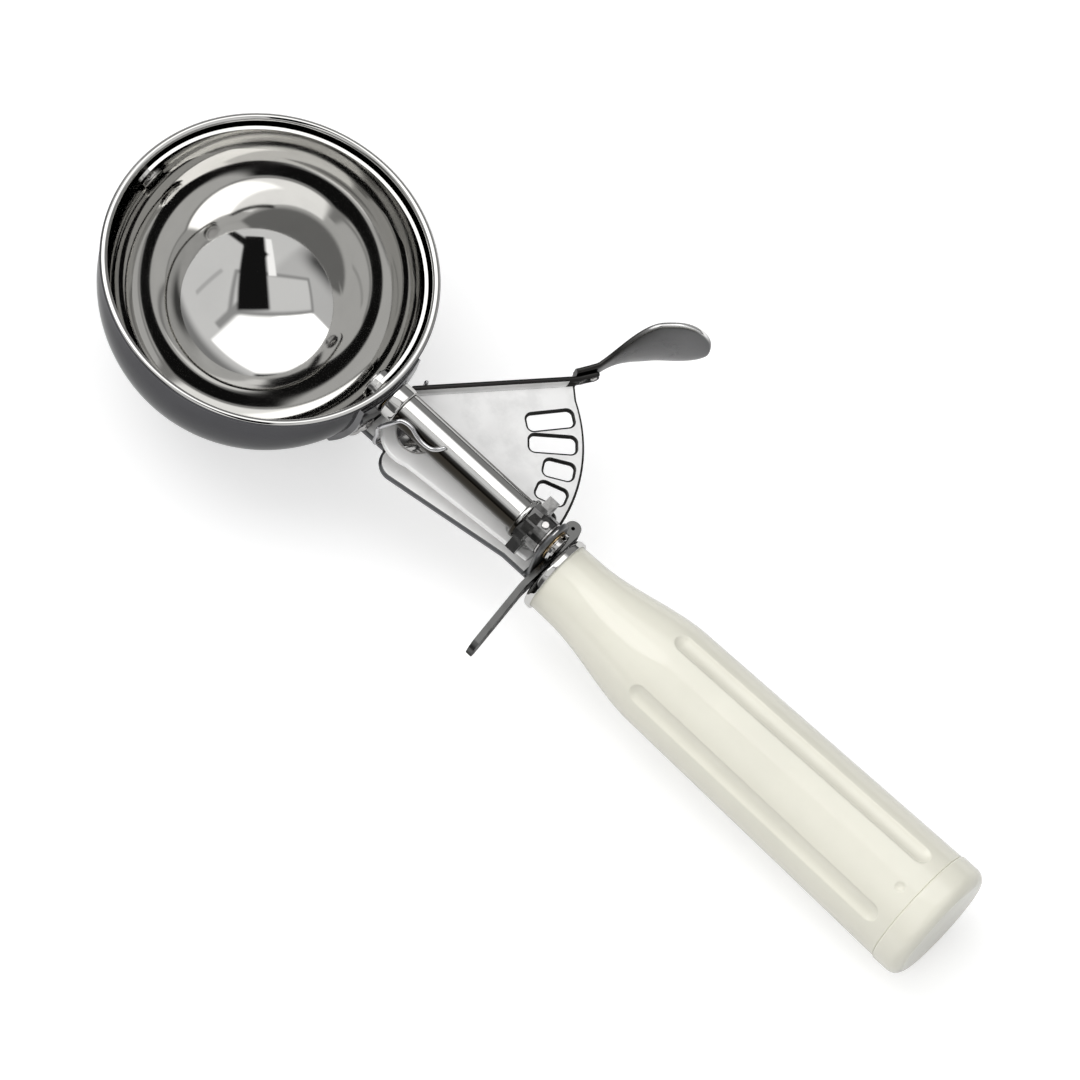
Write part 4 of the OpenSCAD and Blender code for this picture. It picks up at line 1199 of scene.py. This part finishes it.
def floor_material():
    """Pale floor that shows white to the camera and in mirrors, and keeps the shadow."""
    material, tree = blank_material("Floor")
    path = add(tree, "LightPath", {})
    mirrored = maths(tree, "MAXIMUM", path["Is Glossy Ray"], path["Is Transmission Ray"])
    glow = maths(tree, "ADD", maths(tree, "MULTIPLY", path["Is Camera Ray"], FLOOR_GLOW),
                 maths(tree, "MULTIPLY", mirrored, MIRROR_GLOW))
    set_shader(tree, {"Base Color": rgba(colours().floor), "Roughness": 0.9,
                      "Specular IOR Level": 0.0, "Emission Color": WHITE,
                      "Emission Strength": glow})
    return material


def make_floor():
    """A square through the lowest place of the end cap, sloped until it lies a gap under the
    bowl's ball: its slope is asin((ball + gap) / span) less the rise of the line to the bowl's
    centre."""
    foot = Vector((HANDLE_FOOT, 0.0, float(node_box("end_cap")[0][2])))
    span = Vector((SHAFT[0], 0.0, SHAFT[2])) - foot
    ball = float(SHAFT[2] - node_box("bowl")[0][2])
    slope = math.asin((ball + FLOOR_GAP) / span.length) - math.atan2(span.z, -span.x)
    along = Vector((math.cos(slope), 0.0, math.sin(slope))) * FLOOR_SIZE
    side = Vector((0.0, FLOOR_SIZE, 0.0))
    corners = [foot - along - side, foot + along - side, foot + along + side, foot - along + side]
    mesh = bpy.data.meshes.new("floor")
    mesh.from_pydata(corners, [], [(0, 1, 2, 3)])
    mesh.materials.append(floor_material())
    new_object("floor", mesh)


def make_surroundings():
    """Pale walls over a dark horizon, with white and dark panels above the object. A direction
    meets the plane of the panels at (x / z, y / z), with z held above the least rise."""
    world = bpy.data.worlds.new("surroundings")
    bpy.context.scene.world = world
    world.use_nodes = True
    tree = world.node_tree
    way = parts_of(tree, "Generated")
    level = fade(tree, way["Z"], HORIZON_RISE, WALLS_RISE, HORIZON, WALLS)
    rise = maths(tree, "MAXIMUM", way["Z"], LEAST_RISE)
    point = add(tree, "CombineXYZ", {axis: maths(tree, "DIVIDE", way[axis], rise)
                                     for axis in ("X", "Y")})["Vector"]
    for x, y, degrees, half_length, half_width, soft, bright in PANELS:
        mask = use(tree, panel_group(), Point=point, Centre=(x, y, 0),
                   Turn=(0, 0, math.radians(degrees)), Half_Length=half_length,
                   Half_Width=half_width, Soft=soft)["Mask"]
        level = mix_numbers(tree, mask, level, bright)
    shade = tree.nodes["Background"]
    shade.inputs["Color"].default_value = WHITE
    tree.links.new(level, shade.inputs["Strength"])


class SCOOP_OT_stage(bpy.types.Operator):
    """Floor, camera, lamp and the surroundings that the steel mirrors"""

    bl_idname = "scoop.stage"
    bl_label = "Stage"

    def execute(self, context):
        context.scene.view_settings.view_transform = "Standard"
        make_camera()
        make_floor()
        make_surroundings()
        make_lamp()
        return {"FINISHED"}


# ---------------- panel and registration

OPERATORS = (SCOOP_OT_bowl, SCOOP_OT_shank, SCOOP_OT_frame, SCOOP_OT_spring, SCOOP_OT_scraper,
             SCOOP_OT_lever, SCOOP_OT_handle, SCOOP_OT_stage)


class SCOOP_PT_panel(bpy.types.Panel):
    """Lists the pieces of the scoop"""

    bl_label = "Lever scoop"
    bl_idname = "SCOOP_PT_panel"
    bl_space_type = "VIEW_3D"
    bl_region_type = "UI"
    bl_category = "Scoop"

    def draw(self, context):
        for group in (context.scene.scoop_sizes, context.scene.scoop_colours):
            for key in group.__annotations__:
                self.layout.prop(group, key)
        for operator in OPERATORS:
            self.layout.operator(operator.bl_idname)


CLASSES = (ScoopSizes, ScoopColours) + OPERATORS + (SCOOP_PT_panel,)


def register():
    """Add the classes and the scene's properties."""
    for cls in CLASSES:
        bpy.utils.register_class(cls)
    bpy.types.Scene.scoop_sizes = PointerProperty(type=ScoopSizes)
    bpy.types.Scene.scoop_colours = PointerProperty(type=ScoopColours)


def unregister():
    """Take the classes and the properties away again."""
    del bpy.types.Scene.scoop_colours
    del bpy.types.Scene.scoop_sizes
    for cls in reversed(CLASSES):
        bpy.utils.unregister_class(cls)


def main():
    """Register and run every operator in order."""
    register()
    for operator in OPERATORS:
        group, name = operator.bl_idname.split(".")
        getattr(getattr(bpy.ops, group), name)()


if __name__ == "__main__":
    main()
